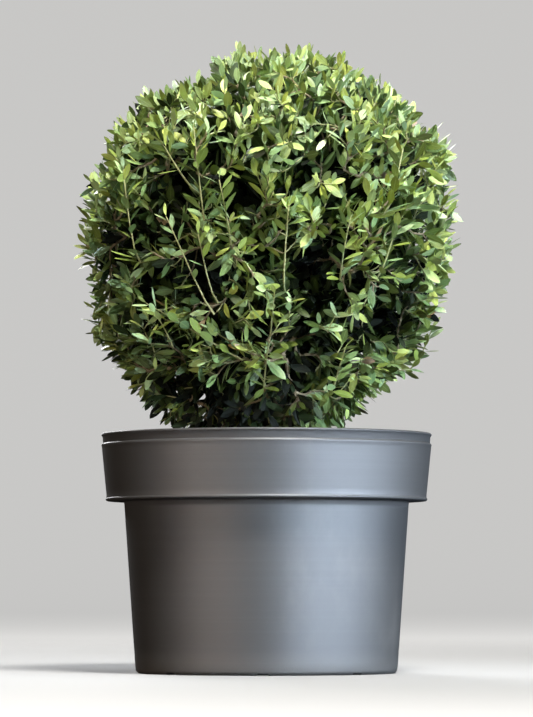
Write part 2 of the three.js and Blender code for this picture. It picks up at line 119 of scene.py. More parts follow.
# Hollows in the clipped surface: azimuth, elevation and half width in degrees, and the share that they sink.
# A share below zero swells out.
HOLLOWS = [
    (-6, 13, 7, 0.2), (19, -13, 9, 0.32), (0, -10, 5, 0.14), (28, 17, 5, 0.1), (-36, 15, 8, 0.22),
    (-19, -14, 8, 0.2), (-14, 30, 6, 0.1), (-40, -18, 8, 0.16), (-60, -5, 8, 0.14), (22, -44, 8, 0.2),
    (-48, -58, 11, 0.18), (57, -29, 9, 0.2), (60, 50, 7, 0.16), (-43, 56, 8, 0.18), (-70, -55, 12, -0.08),
    (-88, 60, 10, 0.08), (118, 8, 10, 0.22), (196, -12, 11, 0.2), (235, 22, 9, 0.18), (160, 40, 9, 0.14),
    (-96, -14, 10, 0.2), (270, 34, 8, 0.14),
]

# Bright tufts: azimuth, elevation and half width in degrees, and how much fresher and lighter their leaves
# are: partly young growth, partly painted light. Below zero the leaves are darker, as painted shade.
TUFTS = [
    (2, 34, 9, 0.25), (23, 30, 8, 0.25), (40, 24, 11, 0.3), (46, 12, 10, 0.3), (-47, 10, 10, 0.4),
    (-17, 15, 7, 0.4), (-8, -2, 7, 0.5), (-26, -4, 8, 0.55), (-7, -28, 8, 0.5), (4, -46, 8, 0.35),
    (33, -25, 8, 0.3), (38, -46, 8, 0.3), (34, -6, 8, 0.4), (13, 11, 8, 0.5), (23, 3, 7, 0.4),
    (12, 0, 5, 0.4), (-12, 21, 6, 0.3), (-32, -30, 7, 0.6), (-24, -40, 7, 0.65), (-44, -26, 6, 0.8),
    (-12, -42, 6, 0.4), (0, -12, 5, -0.6), (-38, 14, 8, -0.4), (-50, 44, 12, -0.6), (24, 62, 14, -0.3),
    (-50, -40, 8, -0.4), (20, -60, 11, -0.5), (-22, -62, 14, -0.7), (-50, -55, 10, -0.4),
    (128, 30, 10, 0.25), (170, 5, 9, 0.25), (212, -30, 9, 0.25), (250, -5, 9, 0.25), (95, -25, 9, 0.25),
]

# Masses of foliage, each owning the space nearest to its site. The sites lie in rings: name, count, turn and
# elevation in degrees, distance from the crown's centre, height of the bough's root, and girth.
RINGS = [
    ("top", 1, 0, 90, 66, 226, 4.4),
    ("upper", 5, -36, 36, 68, 214, 4.2),
    ("middle", 6, -18, -9, 72, 196, 4),
    ("skirt", 5, 8, -54, 82, 167, 3.4),
]
ROOT_STAGGER = 7
SPACE_GAP = 0.5
FOLIAGE_FLOOR, LOWEST_LEAF = 163.5, 158.5

# Layers of twig tips: the draw that each reaches up to, and its depth as a share of the crown's reach.
# A layer below DEEP_LAYER is deep in the crown, and one above OUTER_LAYER makes its surface.
LAYERS = [(0.14, 0.5), (0.4, 0.76), (1.0, 1.0)]
DEEP_LAYER, OUTER_LAYER, SPRIG_LAYER = 0.7, 0.9, 1.1

# Twigs: a reach, height or depth of tips is a share of the crown's reach, a thinning is the greatest share
# of tips that it leaves out, and joints are shares of the way along a stem or twig
TIP_COUNT = 5000
TIP_REACH, LOW_REACH, TIP_SCATTER = 0.9, 0.075, 0.05
STRAY_SHARE, STRAY_REACH = 0.06, 0.05
BALL_RADIUS, TUFT_WIDTH = 127, 38
TUFT_HEIGHT, TUFT_DEPTH, TUFT_THINNING = 0.035, 0.15, 0.62
HOLLOW_EDGE, HOLLOW_RISE, HOLLOW_THINNING = 0.03, 0.11, 0.9
DENSE_BELOW = -0.68
TURN_COST = 0.8
STEM_JOINTS, TWIG_JOINTS = (0.45, 0.7, 1), (0.4, 0.65, 0.82)
TWIG_SINK = 1.2
UPWARD_PULL, LOW_PULL = 0.95, 0.45
SHOOT_RADIUS, THICKEST_TWIG = 0.42, 2.3
WOOD_GIRTH, GIRTH_POWER, TAPER_POWER = 1.15, 0.4, 0.8
TWIG_WOBBLE, WOBBLE_LENGTH = 0.35, 13
WOODY_LOAD = 3
GOLDEN_ANGLE = 137.508

# Sprigs shown on the front: foot and tip across and up, how far out they stand, and the leafy share
SPRIGS = [
    (-35, 234, -62, 298, 1.0, 0.5), (-18, 206, -76, 243, 1.0, 0.85), (14, 258, 18, 304, 0.97, 0.4),
    (-20, 284, -27, 320, 1.0, 0.9), (4, 206, 9, 250, 1.02, 0.9), (0, 186, 4, 214, 1.0, 0.9),
    (46, 186, 54, 214, 1.02, 0.95), (-33, 242, -41, 286, 0.96, 0.4), (-38, 296, -44, 356, 1.0, 0.9),
    (-86, 272, -92, 332, 0.97, 0.85), (50, 258, 58, 298, 1.0, 0.95), (78, 258, 88, 294, 1.0, 0.9),
    (100, 196, 112, 232, 0.98, 0.9), (-52, 322, -66, 348, 1.0, 0.8), (-58, 214, -70, 236, 1.0, 0.8),
    (84, 300, 92, 344, 1.0, 0.95),
]
SPRIG_RADIUS, SPRIG_LEAF_GROWTH = 0.95, 0.95
SPRIG_LEAD, SPRIG_ARCH = 0.2, 3
SPRIG_CLEARING, SPRIG_CLEARING_DEPTH, LEAFY_COVER = 6.5, 9, 0.7
JUST_UNDER = 0.97

# Leaf shapes: each row of points across a blade is a share of its length, and of its greatest width
OUTER_LEAF = {
    "rows": [[0.13, 0.14], [0.33, 0.74], [0.54, 1.0], [0.76, 0.84], [0.92, 0.42]],
    "growth": 1,
    "slimness": 0.34,
}
INNER_LEAF = {"rows": [[0.18, 0.3], [0.5, 1.0], [0.84, 0.62]], "growth": 1.35, "slimness": 0.58}

# Leaves: a pair runs from least to most, and tilts and sways are in degrees. The bare shares are left out,
# and a leaf stays within a share of the clipped surface's reach and a little room more.
LEAF_LENGTH, YOUNG_LENGTHS = 15.2, (0.66, 0.8, 0.92)
LEAF_SIZES, LEAF_WIDTHS = (0.78, 1.22), (0.88, 1.14)
DROOPS, CUPS, SKEWS = (0.02, 0.22), (-0.28, 0.22), (-0.08, 0.08)
LEAF_SPACING, SPRIG_SPACING, SPACING_SCATTER = 2.5, 3.0, 1.5
LEAF_ZONES, LEAFIEST, MOST_LEAVES = (27, 45), 0.95, 22
LEAF_TILT, TILT_SCATTER, TERMINAL_TILT, TILT_STEP, TILT_STEPS = 36, 34, 12, 2, 9
SWAY_SCATTER, RANK_LIFTS, FACE_LIFT, STALK_SINK = 46, (-0.5, 1.3), 0.4, 0.3
BARE_DEEP, BARE_UNDER, BARE_OUTER = 0.1, 0.05, 0.04
ROOM_SHARE, ROOM = 1.05, 3
LEAVES_PER_PIECE = 9500

# Tints: how new and how lit a leaf is painted by its place, and where one tint gives way to the next
# Painted light: leaves towards LIT_FROM, above, in front and to the right, are lighter by LIT_SHARE.
LIT_FROM = np.array([0.25, -0.35, 0.9])
MEAN_FRESH_AND_LIT, LIT_SHARE, TUFT_SHARE = 0.48, 0.24, 0.4
PATCH_SHARE, PATCH_WIDTH, SPRAY_SCATTER, LEAF_SCATTER = 0.18, 62, 0.6, 0.5
TIP_FRESH, YOUNG_FRESH, RANK_FRESH, RANK_FADE = 0.24, 0.14, 0.1, 0.05
SPRIG_FRESH, SPRIG_FADED = 0.68, -0.08
# Painted shade: DEPTH_SHARE darkens leaves lying deeper under the outline, HOLLOW_SHADE those in hollows.
DEPTH_SHARE, SHALLOW, DEEPEST, HOLLOW_SHADE = 2.7, 0.08, 0.4, 1.3
TINT_LIMITS = (-0.14, 0.08, 0.3, 0.54, 0.8)
DRY_SPOTS, DRY_REACH, DRY_FROM, DRY_LEAVES_FROM = [(25, 324), (-18, 217), (-62, 196)], 10, 0.994, 0.35

# Studio: sizes of the floor and wall, azimuth and power of each window, and the camera in metres
FLOOR_RINGS = (165, 700, 1100)
SWEEP_START, SWEEP_RADIUS, WALL_HEIGHT = 6500, 1800, 6500
STAGE_SEGMENTS = 96
STAGE_COLOUR, WALL_GLOW = (0.4, 0.396, 0.388), 1.31
WINDOWS = ((33, 0.71), (52, 0.68), (73, 0.63), (97, 0.22))
CAMERA_PLACE = np.array([0.074, -2.62, 0.057])
CAMERA_TARGET = np.array([0.0, 0.0, 0.212])
CAMERA_LENS = 195

BOX_CORNERS = np.array([[x, y, z] for x in (-1, 1) for y in (-1, 1) for z in (-1, 1)], float)
BOX_QUADS = np.array([[0, 1, 3, 2], [4, 6, 7, 5], [0, 4, 5, 1], [2, 3, 7, 6], [0, 2, 6, 4], [1, 5, 7, 3]])


def chance(counter, draw):
    """Repeatable numbers from 0 to 1: the fraction of a steep sine of a counter and a draw's number."""
    wave = np.sin(np.asarray(counter, float) * 12.9898 + draw * 78.233) * 43758.5453
    return wave - np.floor(wave)


def drawn(limits, counter, draw):
    """Values by chance: the least, and a share from 0 to 1 of what the most is above it."""
    least, most = limits
    return least + (most - least) * chance(counter, draw)


def unit(vectors):
    """Vectors divided by their lengths."""
    return vectors / np.linalg.norm(vectors, axis=-1, keepdims=True)


def heading(azimuth, elevation):
    """Unit vectors at azimuths, counted from the front towards +X, and elevations, both in degrees."""
    azimuth, elevation = np.radians(azimuth), np.radians(elevation)
    level = np.cos(elevation)
    return np.stack([level * np.sin(azimuth), -level * np.cos(azimuth), np.sin(elevation)], axis=-1)


def ripple(points, wavelength, seed):
    """Smooth noise from about -1 to 1: twice the mean of seven sines in seeded directions and phases."""
    draw = np.random.default_rng(seed)
    waves = unit(draw.normal(size=(7, 3))) * (2 * np.pi / wavelength) * draw.uniform(0.6, 1.6, (7, 1))
    phases = draw.uniform(0, 2 * np.pi, 7)
    return 2 * np.sin(points @ waves.T + phases).mean(axis=-1)


def bend(start, leaving, end, arriving):
    """The four handles of cubic curves that leave one way and arrive another."""
    length = np.linalg.norm(end - start, axis=-1, keepdims=True) * BEND_HANDLE
    return np.stack([start, start + length * leaving, end - length * arriving, end], axis=-2)


def along_curve(handles, shares):
    """Points and unit headings of cubic curves: the handles weighed by the four Bernstein polynomials. One
    curve takes many shares, many curves one share each, and handles[:, None] every share on each curve."""
    t = np.asarray(shares, float)[..., None]
    rest = 1 - t
    a, b, c, d = (handles[..., i, :] for i in range(4))
    points = rest**3 * a + 3 * rest**2 * t * b + 3 * rest * t**2 * c + t**3 * d
    slope = rest**2 * (b - a) + 2 * rest * t * (c - b) + t**2 * (d - c)
    return points, unit(slope)


def smooth_path(knots, shares):
    """Points of a centripetal Catmull-Rom curve: each stretch is a cubic whose end slopes are the divided
    differences of its neighbours, with knots spaced by the square roots of their distances."""
    knots = np.asarray(knots, float)
    knots = np.vstack([2 * knots[0] - knots[1], knots, 2 * knots[-1] - knots[-2]])
    stretches = len(knots) - 3
    place = np.clip(np.asarray(shares, float), 0, 1) * stretches
    first = np.minimum(place.astype(int), stretches - 1)
    p0, p1, p2, p3 = (knots[first + i] for i in range(4))
    d0, d1, d2 = (np.sqrt(np.linalg.norm(b - a, axis=1))[:, None] for a, b in ((p0, p1), (p1, p2), (p2, p3)))
    slope1 = ((p1 - p0) / d0 - (p2 - p0) / (d0 + d1) + (p2 - p1) / d1) * d1
    slope2 = ((p2 - p1) / d1 - (p3 - p1) / (d1 + d2) + (p3 - p2) / d2) * d1
    return along_curve(np.stack([p1, p1 + slope1 / 3, p2 - slope2 / 3, p2], axis=-2), place - first)[0]


def arc(centre, radius, start, end, steps):
    """Profile points on a circular arc between two angles in degrees."""
    angles = np.radians(np.linspace(start, end, steps))
    return [(centre[0] + radius * math.cos(a), centre[1] + radius * math.sin(a)) for a in angles]


def make_piece(name, points, faces, slot, material, stands_for=(), uv=None, tone=None):
    """A mesh object at the origin from points in millimetres and arrays of faces with three or four
    corners. uv holds a pair for each face corner, in the faces' order, and tone a value for each point."""
    corners = np.concatenate([group.ravel() for group in faces]).astype(np.int32)
    sizes = np.concatenate([np.full(len(group), group.shape[1]) for group in faces])
    starts = np.concatenate([[0], np.cumsum(sizes)[:-1]]).astype(np.int32)
    mesh = bpy.data.meshes.new(name)
    mesh.vertices.add(len(points))
    mesh.vertices.foreach_set("co", (points * MM).astype(np.float32).ravel())
    mesh.loops.add(len(corners))
    mesh.loops.foreach_set("vertex_index", corners)
    mesh.polygons.add(len(sizes))
    mesh.polygons.foreach_set("loop_start", starts)
    mesh.polygons.foreach_set("use_smooth", np.ones(len(sizes), bool))
    if uv is not None:
        mesh.uv_layers.new(name="UVMap").uv.foreach_set("vector", np.asarray(uv, np.float32).ravel())
    if tone is not None:
        mesh.attributes.new("tone", "FLOAT", "POINT").data.foreach_set("value", np.asarray(tone, np.float32))
    mesh.update(calc_edges=True)
    mesh.materials.append(material)
    piece = bpy.data.objects.new(name, mesh)
    bpy.context.scene.collection.objects.link(piece)
    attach(piece, "root")
    if stands_for:
        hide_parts(*stands_for)
    return piece


def grid(rows, columns, closed):
    """Quads of a grid of points whose columns may close round, and each corner's (column, row) in it."""
    i, j = (x.ravel() for x in np.mgrid[0 : rows - 1, 0 : columns if closed else columns - 1])
    k = (j + 1) % columns
    here, above = i * columns, (i + 1) * columns
    quads = np.stack([here + j, here + k, above + k, above + j], axis=1)
    places = np.stack([j, i, j + 1, i, j + 1, i + 1, j, i + 1], axis=1).reshape(-1, 4, 2)
    return quads, places.astype(float)


def end_fans(rows, columns):
    """Triangles that close a closed grid on two more points, one for its first row and one for its last."""
    ring = np.arange(columns)
    following = (ring + 1) % columns
    last = (rows - 1) * columns
    foot = np.stack([np.full(columns, rows * columns), following, ring], axis=1)
    head = np.stack([np.full(columns, rows * columns + 1), last + ring, last + following], axis=1)
    return np.concatenate([foot, head])


def copied(faces, count, size):
    """The faces of many like meshes, one after another, each with its own stretch of that many points."""
    shift = (size * np.arange(count))[:, None, None]
    return [(group + shift).reshape(-1, group.shape[1]) for group in faces]


def tubes(points, headings, radii, sides, foot_bulge=0.3, tip_bulge=0.6):
    """Closed tubes, all with the same rings: at each ring the points centre + r(cos a across + sin a
    upright), with a fixed side made square to the heading, and a point at each end that closes it. points
    and headings are (tubes, rings, 3), radii (tubes, rings) or (tubes, rings, sides)."""
    count, rings = points.shape[:2]
    side = np.array([0.31, 0.87, 0.38])
    across = unit(side - headings * (headings @ side)[..., None])
    upright = np.cross(headings, across)
    angles = np.linspace(0, 2 * np.pi, sides, endpoint=False)
    if radii.ndim == 2:
        radii = np.repeat(radii[..., None], sides, axis=2)
    swing = np.cos(angles)[:, None] * across[..., None, :] + np.sin(angles)[:, None] * upright[..., None, :]
    skin = (points[..., None, :] + radii[..., None] * swing).reshape(count, -1, 3)
    foot = points[:, :1] - foot_bulge * radii[:, :1, :1] * headings[:, :1]
    tip = points[:, -1:] + tip_bulge * radii[:, -1:, :1] * headings[:, -1:]
    vertices = np.concatenate([skin, foot, tip], axis=1)
    quads, places = grid(rings, sides, True)
    triangles = end_fans(rings, sides)
    steps = np.linalg.norm(np.diff(points, axis=1), axis=2)
    travelled = np.concatenate([np.zeros((count, 1)), np.cumsum(steps, axis=1)], axis=1)
    girth = 2 * np.pi * radii[:, 0].mean(axis=1)
    around = places[..., 0] / sides * girth[:, None, None]
    quad_uv = np.stack([around, travelled[:, places[..., 1].astype(int)]], axis=-1)
    end_uv = np.zeros((count, len(triangles), 3, 2))
    end_uv[:, sides:, :, 1] = travelled[:, -1:, None]
    uv = np.concatenate([quad_uv.reshape(-1, 2), end_uv.reshape(-1, 2)])
    return vertices.reshape(-1, 3), copied([quads, triangles], count, vertices.shape[1]), uv


def turned(profile, segments):
    """A closed surface of revolution: rings of (r cos a, r sin a, z) between two points on the axis."""
    profile = np.array(profile, float)
    angles = np.linspace(0, 2 * np.pi, segments, endpoint=False)
    radii, heights = profile[1:-1, :1], np.repeat(profile[1:-1, 1:], segments, axis=1)
    rings = np.stack([radii * np.cos(angles), radii * np.sin(angles), heights], axis=-1)
    poles = np.array([[0, 0, profile[0, 1]], [0, 0, profile[-1, 1]]])
    quads, _ = grid(len(radii), segments, True)
    return np.concatenate([rings.reshape(-1, 3), poles]), [quads, end_fans(len(radii), segments)]


# Materials


class Nodes:
    """A node tree being wired."""

    def __init__(self, tree):
        self.tree = tree

    def fill(self, node, values):
        """A node's inputs, by name or number, take values or other nodes' outputs. Colours are opaque."""
        for key, held in values.items():
            socket = node.inputs[key]
            if isinstance(held, bpy.types.NodeSocket):
                self.tree.links.new(held, socket)
            else:
                socket.default_value = (*held, 1.0) if socket.type == "RGBA" else held
        return node

    def add(self, kind, values=(), **settings):
        """A node of that kind with its properties and inputs."""
        node = self.tree.nodes.new(kind)
        for key, value in settings.items():
            setattr(node, key, value)
        return self.fill(node, dict(values))

    def place(self):
        """Where a point is, in the object's own coordinates."""
        return self.add("ShaderNodeTexCoord").outputs["Object"]

    def parts(self, vector):
        """The three parts of a vector."""
        return self.add("ShaderNodeSeparateXYZ", {0: vector}).outputs

    def math(self, operation, a, b=0.5, c=0.5, clamp=False):
        """One Math node's result."""
        values = {0: a, 1: b, 2: c}
        return self.add("ShaderNodeMath", values, operation=operation, use_clamp=clamp).outputs[0]

    def times(self, a, b):
        """Two values multiplied."""
        return self.math("MULTIPLY", a, b)

    def line(self, value, slope, base):
        """A value times a slope, plus a base."""
        return self.math("MULTIPLY_ADD", value, slope, base)

    def inverse(self, value):
        """One minus a value."""
        return self.math("SUBTRACT", 1.0, value)

    def step(self, value, low, high):
        """0 below low, 1 above high and smooth between."""
        values = {"Value": value, 1: low, 2: high}
        return self.add("ShaderNodeMapRange", values, interpolation_type="SMOOTHSTEP").outputs[0]

    def mix(self, share, a, b, blend="MIX"):
        """Two colours mixed by a share."""
        values = {"Factor": share, "A": a, "B": b}
        return self.add("ShaderNodeMix", values, data_type="RGBA", blend_type=blend).outputs["Result"]

    def noise(self, vector, scale, detail=3.0, roughness=0.55):
        """Plain noise from 0 to 1."""
        values = {"Vector": vector, "Scale": scale, "Detail": detail, "Roughness": roughness}
        return self.add("ShaderNodeTexNoise", values).outputs[0]

    def stretched(self, vector, scale):
        """Coordinates scaled apart on each axis."""
        return self.add("ShaderNodeMapping", {"Vector": vector, "Scale": scale}).outputs[0]


def leaf_blade(nodes, given):
    """Leaf blades: pale midrib, fine side veins, mottling and a tone that differs from leaf to leaf."""
    place = nodes.parts(nodes.add("ShaderNodeUVMap").outputs[0])
    tone = nodes.add("ShaderNodeAttribute", attribute_name="tone").outputs["Fac"]
    mottle = nodes.noise(nodes.place(), 240.0)
    aside = nodes.math("ABSOLUTE", nodes.line(place[0], 2.0, -1.0))
    rib = nodes.inverse(nodes.step(aside, 0.02, 0.13))
    climb = nodes.line(aside, -0.28, place[1])
    vein = nodes.step(nodes.math("SINE", nodes.times(climb, 46.0)), 0.55, 1.0)
    shade = nodes.times(nodes.line(tone, 0.66, 0.65), nodes.line(mottle, 0.5, 0.75))
    shade = nodes.times(shade, nodes.line(nodes.step(aside, 0.75, 1.0), 0.12, 1.0))
    age = nodes.math("FRACT", nodes.times(tone, 7.0))
    tinge = nodes.mix(age, (1.13, 1.0, 0.45), (0.88, 1.0, 1.5))
    tinged = nodes.mix(1.0, given["Blade"], tinge, "MULTIPLY")
    blade = nodes.add("ShaderNodeVectorMath", {0: tinged, "Scale": shade}, operation="SCALE").outputs[0]
    veined = nodes.mix(nodes.times(vein, 0.16), blade, given["Rib"])
    ribbed = nodes.mix(nodes.times(rib, 0.6), veined, given["Rib"])
    rough = nodes.line(mottle, 0.22, nodes.math("SUBTRACT", given["Gloss"], 0.11))
    return ribbed, rough, nodes.math("ADD", nodes.times(rib, -0.9), nodes.times(vein, -0.35))


def bark(nodes, given):
    """Bark: a skin with fissures drawn out along the limb, darker patches and pale pores."""
    along = nodes.add("ShaderNodeUVMap").outputs[0]
    fissures = nodes.noise(nodes.stretched(along, (0.9, 0.16, 1)), 1.0, 6.0, 0.65)
    crack = nodes.inverse(nodes.step(fissures, 0.36, 0.52))
    spots = {"Vector": nodes.stretched(along, (0.32, 0.55, 1)), "Scale": 1.0}
    cells = nodes.add("ShaderNodeTexVoronoi", spots).outputs["Distance"]
    pore = nodes.inverse(nodes.step(cells, 0.08, 0.2))
    patches = nodes.step(nodes.noise(nodes.place(), 55.0), 0.45, 0.7)
    darkened = nodes.mix(nodes.times(crack, given["Depth"]), given["Skin"], given["Fissure"])
    patched = nodes.mix(patches, darkened, given["Fissure"])
    softened = nodes.mix(0.62, patched, darkened)
    pale = nodes.mix(nodes.times(pore, 0.5), softened, (0.5, 0.44, 0.33))
    height = nodes.math("ADD", nodes.times(crack, -1.0), nodes.times(pore, 0.5))
    return pale, nodes.line(crack, 0.15, 0.72), height


def crumb(nodes, given):
    """Loose matter: two tones broken by noise at two scales, dull and rough."""
    place = nodes.place()
    fine = nodes.noise(place, given["Scale"], 5.0, 0.65)
    both = nodes.math("ADD", nodes.times(fine, 0.65), nodes.times(nodes.noise(place, 38.0), 0.35))
    low, high = (nodes.math(operation, given["Balance"], 0.13) for operation in ("SUBTRACT", "ADD"))
    share = nodes.step(both, low, high)
    return nodes.mix(share, given["Dark"], given["Light"]), nodes.line(fine, 0.2, 0.75), fine


def surface_group(wire, inputs):
    """A shader node group that puts out colour, roughness and height, as its wiring function returns them.
    An input is a colour where its first value is a tuple, and a float otherwise."""
    tree = bpy.data.node_groups.new(wire.__name__, "ShaderNodeTree")
    for key, value in inputs.items():
        coloured = isinstance(value, tuple)
        kind = "NodeSocketColor" if coloured else "NodeSocketFloat"
        socket = tree.interface.new_socket(key, in_out="INPUT", socket_type=kind)
        socket.default_value = (*value, 1.0) if coloured else value
    outputs = {"Color": "NodeSocketColor", "Roughness": "NodeSocketFloat", "Height": "NodeSocketFloat"}
    for key, kind in outputs.items():
        tree.interface.new_socket(key, in_out="OUTPUT", socket_type=kind)
    nodes = Nodes(tree)
    results = wire(nodes, nodes.add("NodeGroupInput").outputs)
    nodes.add("NodeGroupOutput", zip(outputs, results))
    return tree


def new_material(name):
    """A material with its nodes and its Principled BSDF."""
    material = bpy.data.materials.new(name)
    material.use_nodes = True
    return material, Nodes(material.node_tree), material.node_tree.nodes["Principled BSDF"]


def finished(name, wire, relief, reach, settings):
    """A material whose shader takes colour, roughness and bump from wire's results, and the rest as set.
    The bump's strength is its relief and its distance its reach in metres."""
    material, nodes, shader = new_material(name)
    base, rough, height = wire(nodes)
    bump = nodes.add("ShaderNodeBump", {"Strength": relief, "Distance": reach, "Height": height})
    nodes.fill(shader, {"Base Color": base, "Roughness": rough, "Normal": bump.outputs[0], **settings})
    return material


def from_group(name, tree, values, relief, reach, settings):
    """A material wired by a group with its own values."""

    def wire(nodes):
        return nodes.add("ShaderNodeGroup", values, node_tree=tree).outputs

    return finished(name, wire, relief, reach, settings)


def moulded_grey(nodes):
    """Moulded grey plastic: faint turned lines, a fine grain, dusty smudges, dust at the foot, and painted
    shade in the corner under the rim band and round the lip."""
    place = nodes.place()
    height = nodes.parts(place)[2]
    lines = nodes.noise(nodes.stretched(place, (3.0, 3.0, 420.0)), 1.0, 4.0, 0.6)
    cloud = nodes.noise(place, 14.0, 5.0, 0.6)
    grain = nodes.noise(place, 2200.0, 2.0)
    smudge = nodes.step(nodes.noise(nodes.stretched(place, (9.0, 9.0, 5.0)), 1.6, 6.0, 0.62), 0.53, 0.72)
    base = nodes.mix(cloud, (0.041, 0.039, 0.037), (0.053, 0.051, 0.049))
    lined = nodes.mix(nodes.times(nodes.step(lines, 0.5, 0.62), 0.025), base, (0.2, 0.2, 0.2))
    # Painted shade: the lip above the ledge and a band just under the rim band are darkened and made
    # rougher.
    lip = nodes.step(height, (POT_HEIGHT - LIP_BAND) * MM, (POT_HEIGHT - LIP_BAND + 1) * MM)
    under = nodes.step(height, (BAND_FOOT - 5) * MM, (BAND_FOOT - 3) * MM)
    corner = nodes.math("SUBTRACT", under, nodes.step(height, BAND_FOOT * MM, (BAND_FOOT + 0.4) * MM))
    painted_shade = nodes.math("MAXIMUM", corner, nodes.times(lip, 0.4))
    shaded_lined = nodes.mix(nodes.times(painted_shade, 0.8), lined, (0.012, 0.01, 0.009))
    low = nodes.inverse(nodes.step(height, 0.002, 0.02))
    settled = nodes.math("MAXIMUM", nodes.times(low, 0.25), nodes.times(smudge, 0.2))
    dust = nodes.math("MULTIPLY", settled, nodes.line(cloud, 1.1, 0.1), clamp=True)
    dusted = nodes.mix(dust, shaded_lined, (0.235, 0.215, 0.185))
    rough = nodes.line(dust, 0.35, nodes.line(painted_shade, 0.35, nodes.line(cloud, 0.08, 0.45)))
    return dusted, rough, nodes.math("ADD", nodes.times(lines, 0.08), nodes.times(grain, 0.3))


LEAF_BLADE = surface_group(leaf_blade, {"Blade": (0.05, 0.1, 0.02), "Rib": (0.2, 0.3, 0.08), "Gloss": 0.36})
BARK = surface_group(bark, {"Skin": (0.3, 0.24, 0.16), "Fissure": (0.09, 0.065, 0.045), "Depth": 0.5})
CRUMB = surface_group(
    crumb, {"Light": (0.4, 0.28, 0.16), "Dark": (0.08, 0.05, 0.03), "Scale": 260.0, "Balance": 0.5}
)

# Leaf tints: blade, rib and roughness
# Lighter and darker copies of one leaf: deep and shaded paint shade, the two lightest partly paint light.
TINTS = {
    "deep": ((0.003, 0.006, 0.002), (0.008, 0.012, 0.005), 0.7),
    "shaded": ((0.013, 0.024, 0.005), (0.03, 0.05, 0.014), 0.55),
    "dark": ((0.05, 0.084, 0.015), (0.12, 0.17, 0.04), 0.38),
    "mid": ((0.122, 0.19, 0.05), (0.24, 0.34, 0.11), 0.38),
    "bright": ((0.25, 0.355, 0.1), (0.39, 0.5, 0.18), 0.39),
    "fresh_and_lit": ((0.42, 0.53, 0.19), (0.55, 0.63, 0.275), 0.42),
    "dry": ((0.5, 0.36, 0.23), (0.6, 0.46, 0.32), 0.7),
}
TINT_NAMES = list(TINTS)
DULL_TINTS = ("deep", "shaded", "dry")
DULL = {"Specular IOR Level": 0.25}
WAXY = {"Specular IOR Level": 0.52, "Coat Weight": 0.28, "Coat Roughness": 0.38}
SATIN = {"Specular IOR Level": 1.0, "Coat Weight": 0.6, "Coat Roughness": 0.5}


def leaf_material(tint):
    """The waxy leaf in one of its tints. Leaves in deep shade and dry ones are dull."""
    values = dict(zip(("Blade", "Rib", "Gloss"), TINTS[tint]))
    settings = DULL if tint in DULL_TINTS else WAXY
    return from_group(f"leaf_{tint}", LEAF_BLADE, values, relief=0.4, reach=0.0004, settings=settings)


def bark_material(name, skin, fissure, depth, relief):
    """Bark of one age."""
    values = {"Skin": skin, "Fissure": fissure, "Depth": depth}
    return from_group(name, BARK, values, relief, reach=0.0008, settings={"Specular IOR Level": 0.3})


def crumb_material(name, light, dark, scale, balance):
    """Soil or mulch of one kind."""
    values = {"Light": light, "Dark": dark, "Scale": scale, "Balance": balance}
    return from_group(name, CRUMB, values, relief=0.6, reach=0.0012, settings={"Specular IOR Level": 0.2})


# Pot, soil and mulch


def outer_radius(height):
    """Radius of the pot's outside at a height: one straight taper on the body and one on the rim band."""
    body = FOOT_RADIUS + (BODY_RADIUS - FOOT_RADIUS) * height / BAND_FOOT
    band = RIM_FOOT_RADIUS + (RIM_RADIUS - RIM_FOOT_RADIUS) * (height - BAND_FOOT) / RIM_BAND
    return np.where(np.asarray(height) < BAND_FOOT, body, band)


def inner_radius(height):
    """Radius of the pot's inside at a height."""
    return float(outer_radius(height)) - POT_WALL


def pot_profile():
    """The pot's section, from the middle of its underside, up the outside, over the lip and down the
    inside. The body has two faint rings, each a bell curve of the height."""
    body = np.linspace(*BODY_STRAIGHT, BODY_RINGS)
    rings = sum(swell * np.exp(-(((body - height) / width) ** 2)) for height, width, swell in FAINT_RINGS)
    ledge = POT_HEIGHT - LIP_BAND
    ledge_radius = float(outer_radius(ledge))
    collar_radius = ledge_radius - LIP_RECESS
    band = np.linspace(*BAND_STRAIGHT, BAND_RINGS)
    shelf = BAND_FOOT + POT_WALL
    inner_lip = inner_radius(POT_HEIGHT) + INNER_LIP_FILLET
    return [
        (0, 0), (GROOVE_INNER / 2, 0), (GROOVE_INNER, 0), (GROOVE_INNER + 1, GROOVE_HEIGHT),
        (GROOVE_OUTER - 1, GROOVE_HEIGHT), (GROOVE_OUTER, 0), (FOOT_RADIUS - FOOT_FILLET - FOOT_FLAT, 0),
        *arc((FOOT_RADIUS - FOOT_FILLET, FOOT_FILLET), FOOT_FILLET, -90, 0, 7),
        *zip(outer_radius(body) + rings, body),
        *arc((BODY_RADIUS + BAND_FILLET, BAND_FOOT - BAND_FILLET), BAND_FILLET, 180, 90, 5),
        *arc((RIM_FOOT_RADIUS + BEAD - BAND_FILLET, BAND_FOOT + BAND_FILLET), BAND_FILLET, -90, 50, 10),
        *zip(outer_radius(band), band),
        *arc((ledge_radius - LEDGE_FILLET, ledge - LEDGE_FILLET), LEDGE_FILLET, 0, 70, 6),
        (collar_radius - COLLAR_DRAFT, ledge), (collar_radius, ledge + CREASE_HEIGHT),
        (collar_radius + COLLAR_DRAFT, POT_HEIGHT - COLLAR_SHOULDER),
        *arc((RIM_RADIUS - LIP_FILLET - LIP_INSET, POT_HEIGHT - LIP_FILLET), LIP_FILLET, -40, 90, 8),
        *arc((inner_lip, POT_HEIGHT - INNER_LIP_FILLET), INNER_LIP_FILLET, 90, 180, 5),
        (inner_radius(shelf + SHELF_RISE), shelf + SHELF_RISE), (inner_radius(shelf + SHELF_CHAMFER), shelf),
        (BODY_RADIUS - POT_WALL, shelf - SHELF_CHAMFER),
        (inner_radius(POT_FLOOR + FLOOR_CHAMFER), POT_FLOOR + FLOOR_CHAMFER),
        (inner_radius(POT_FLOOR) - FLOOR_CHAMFER, POT_FLOOR),
        (GROOVE_OUTER, POT_FLOOR), (GROOVE_INNER, POT_FLOOR), (0, POT_FLOOR),
    ]


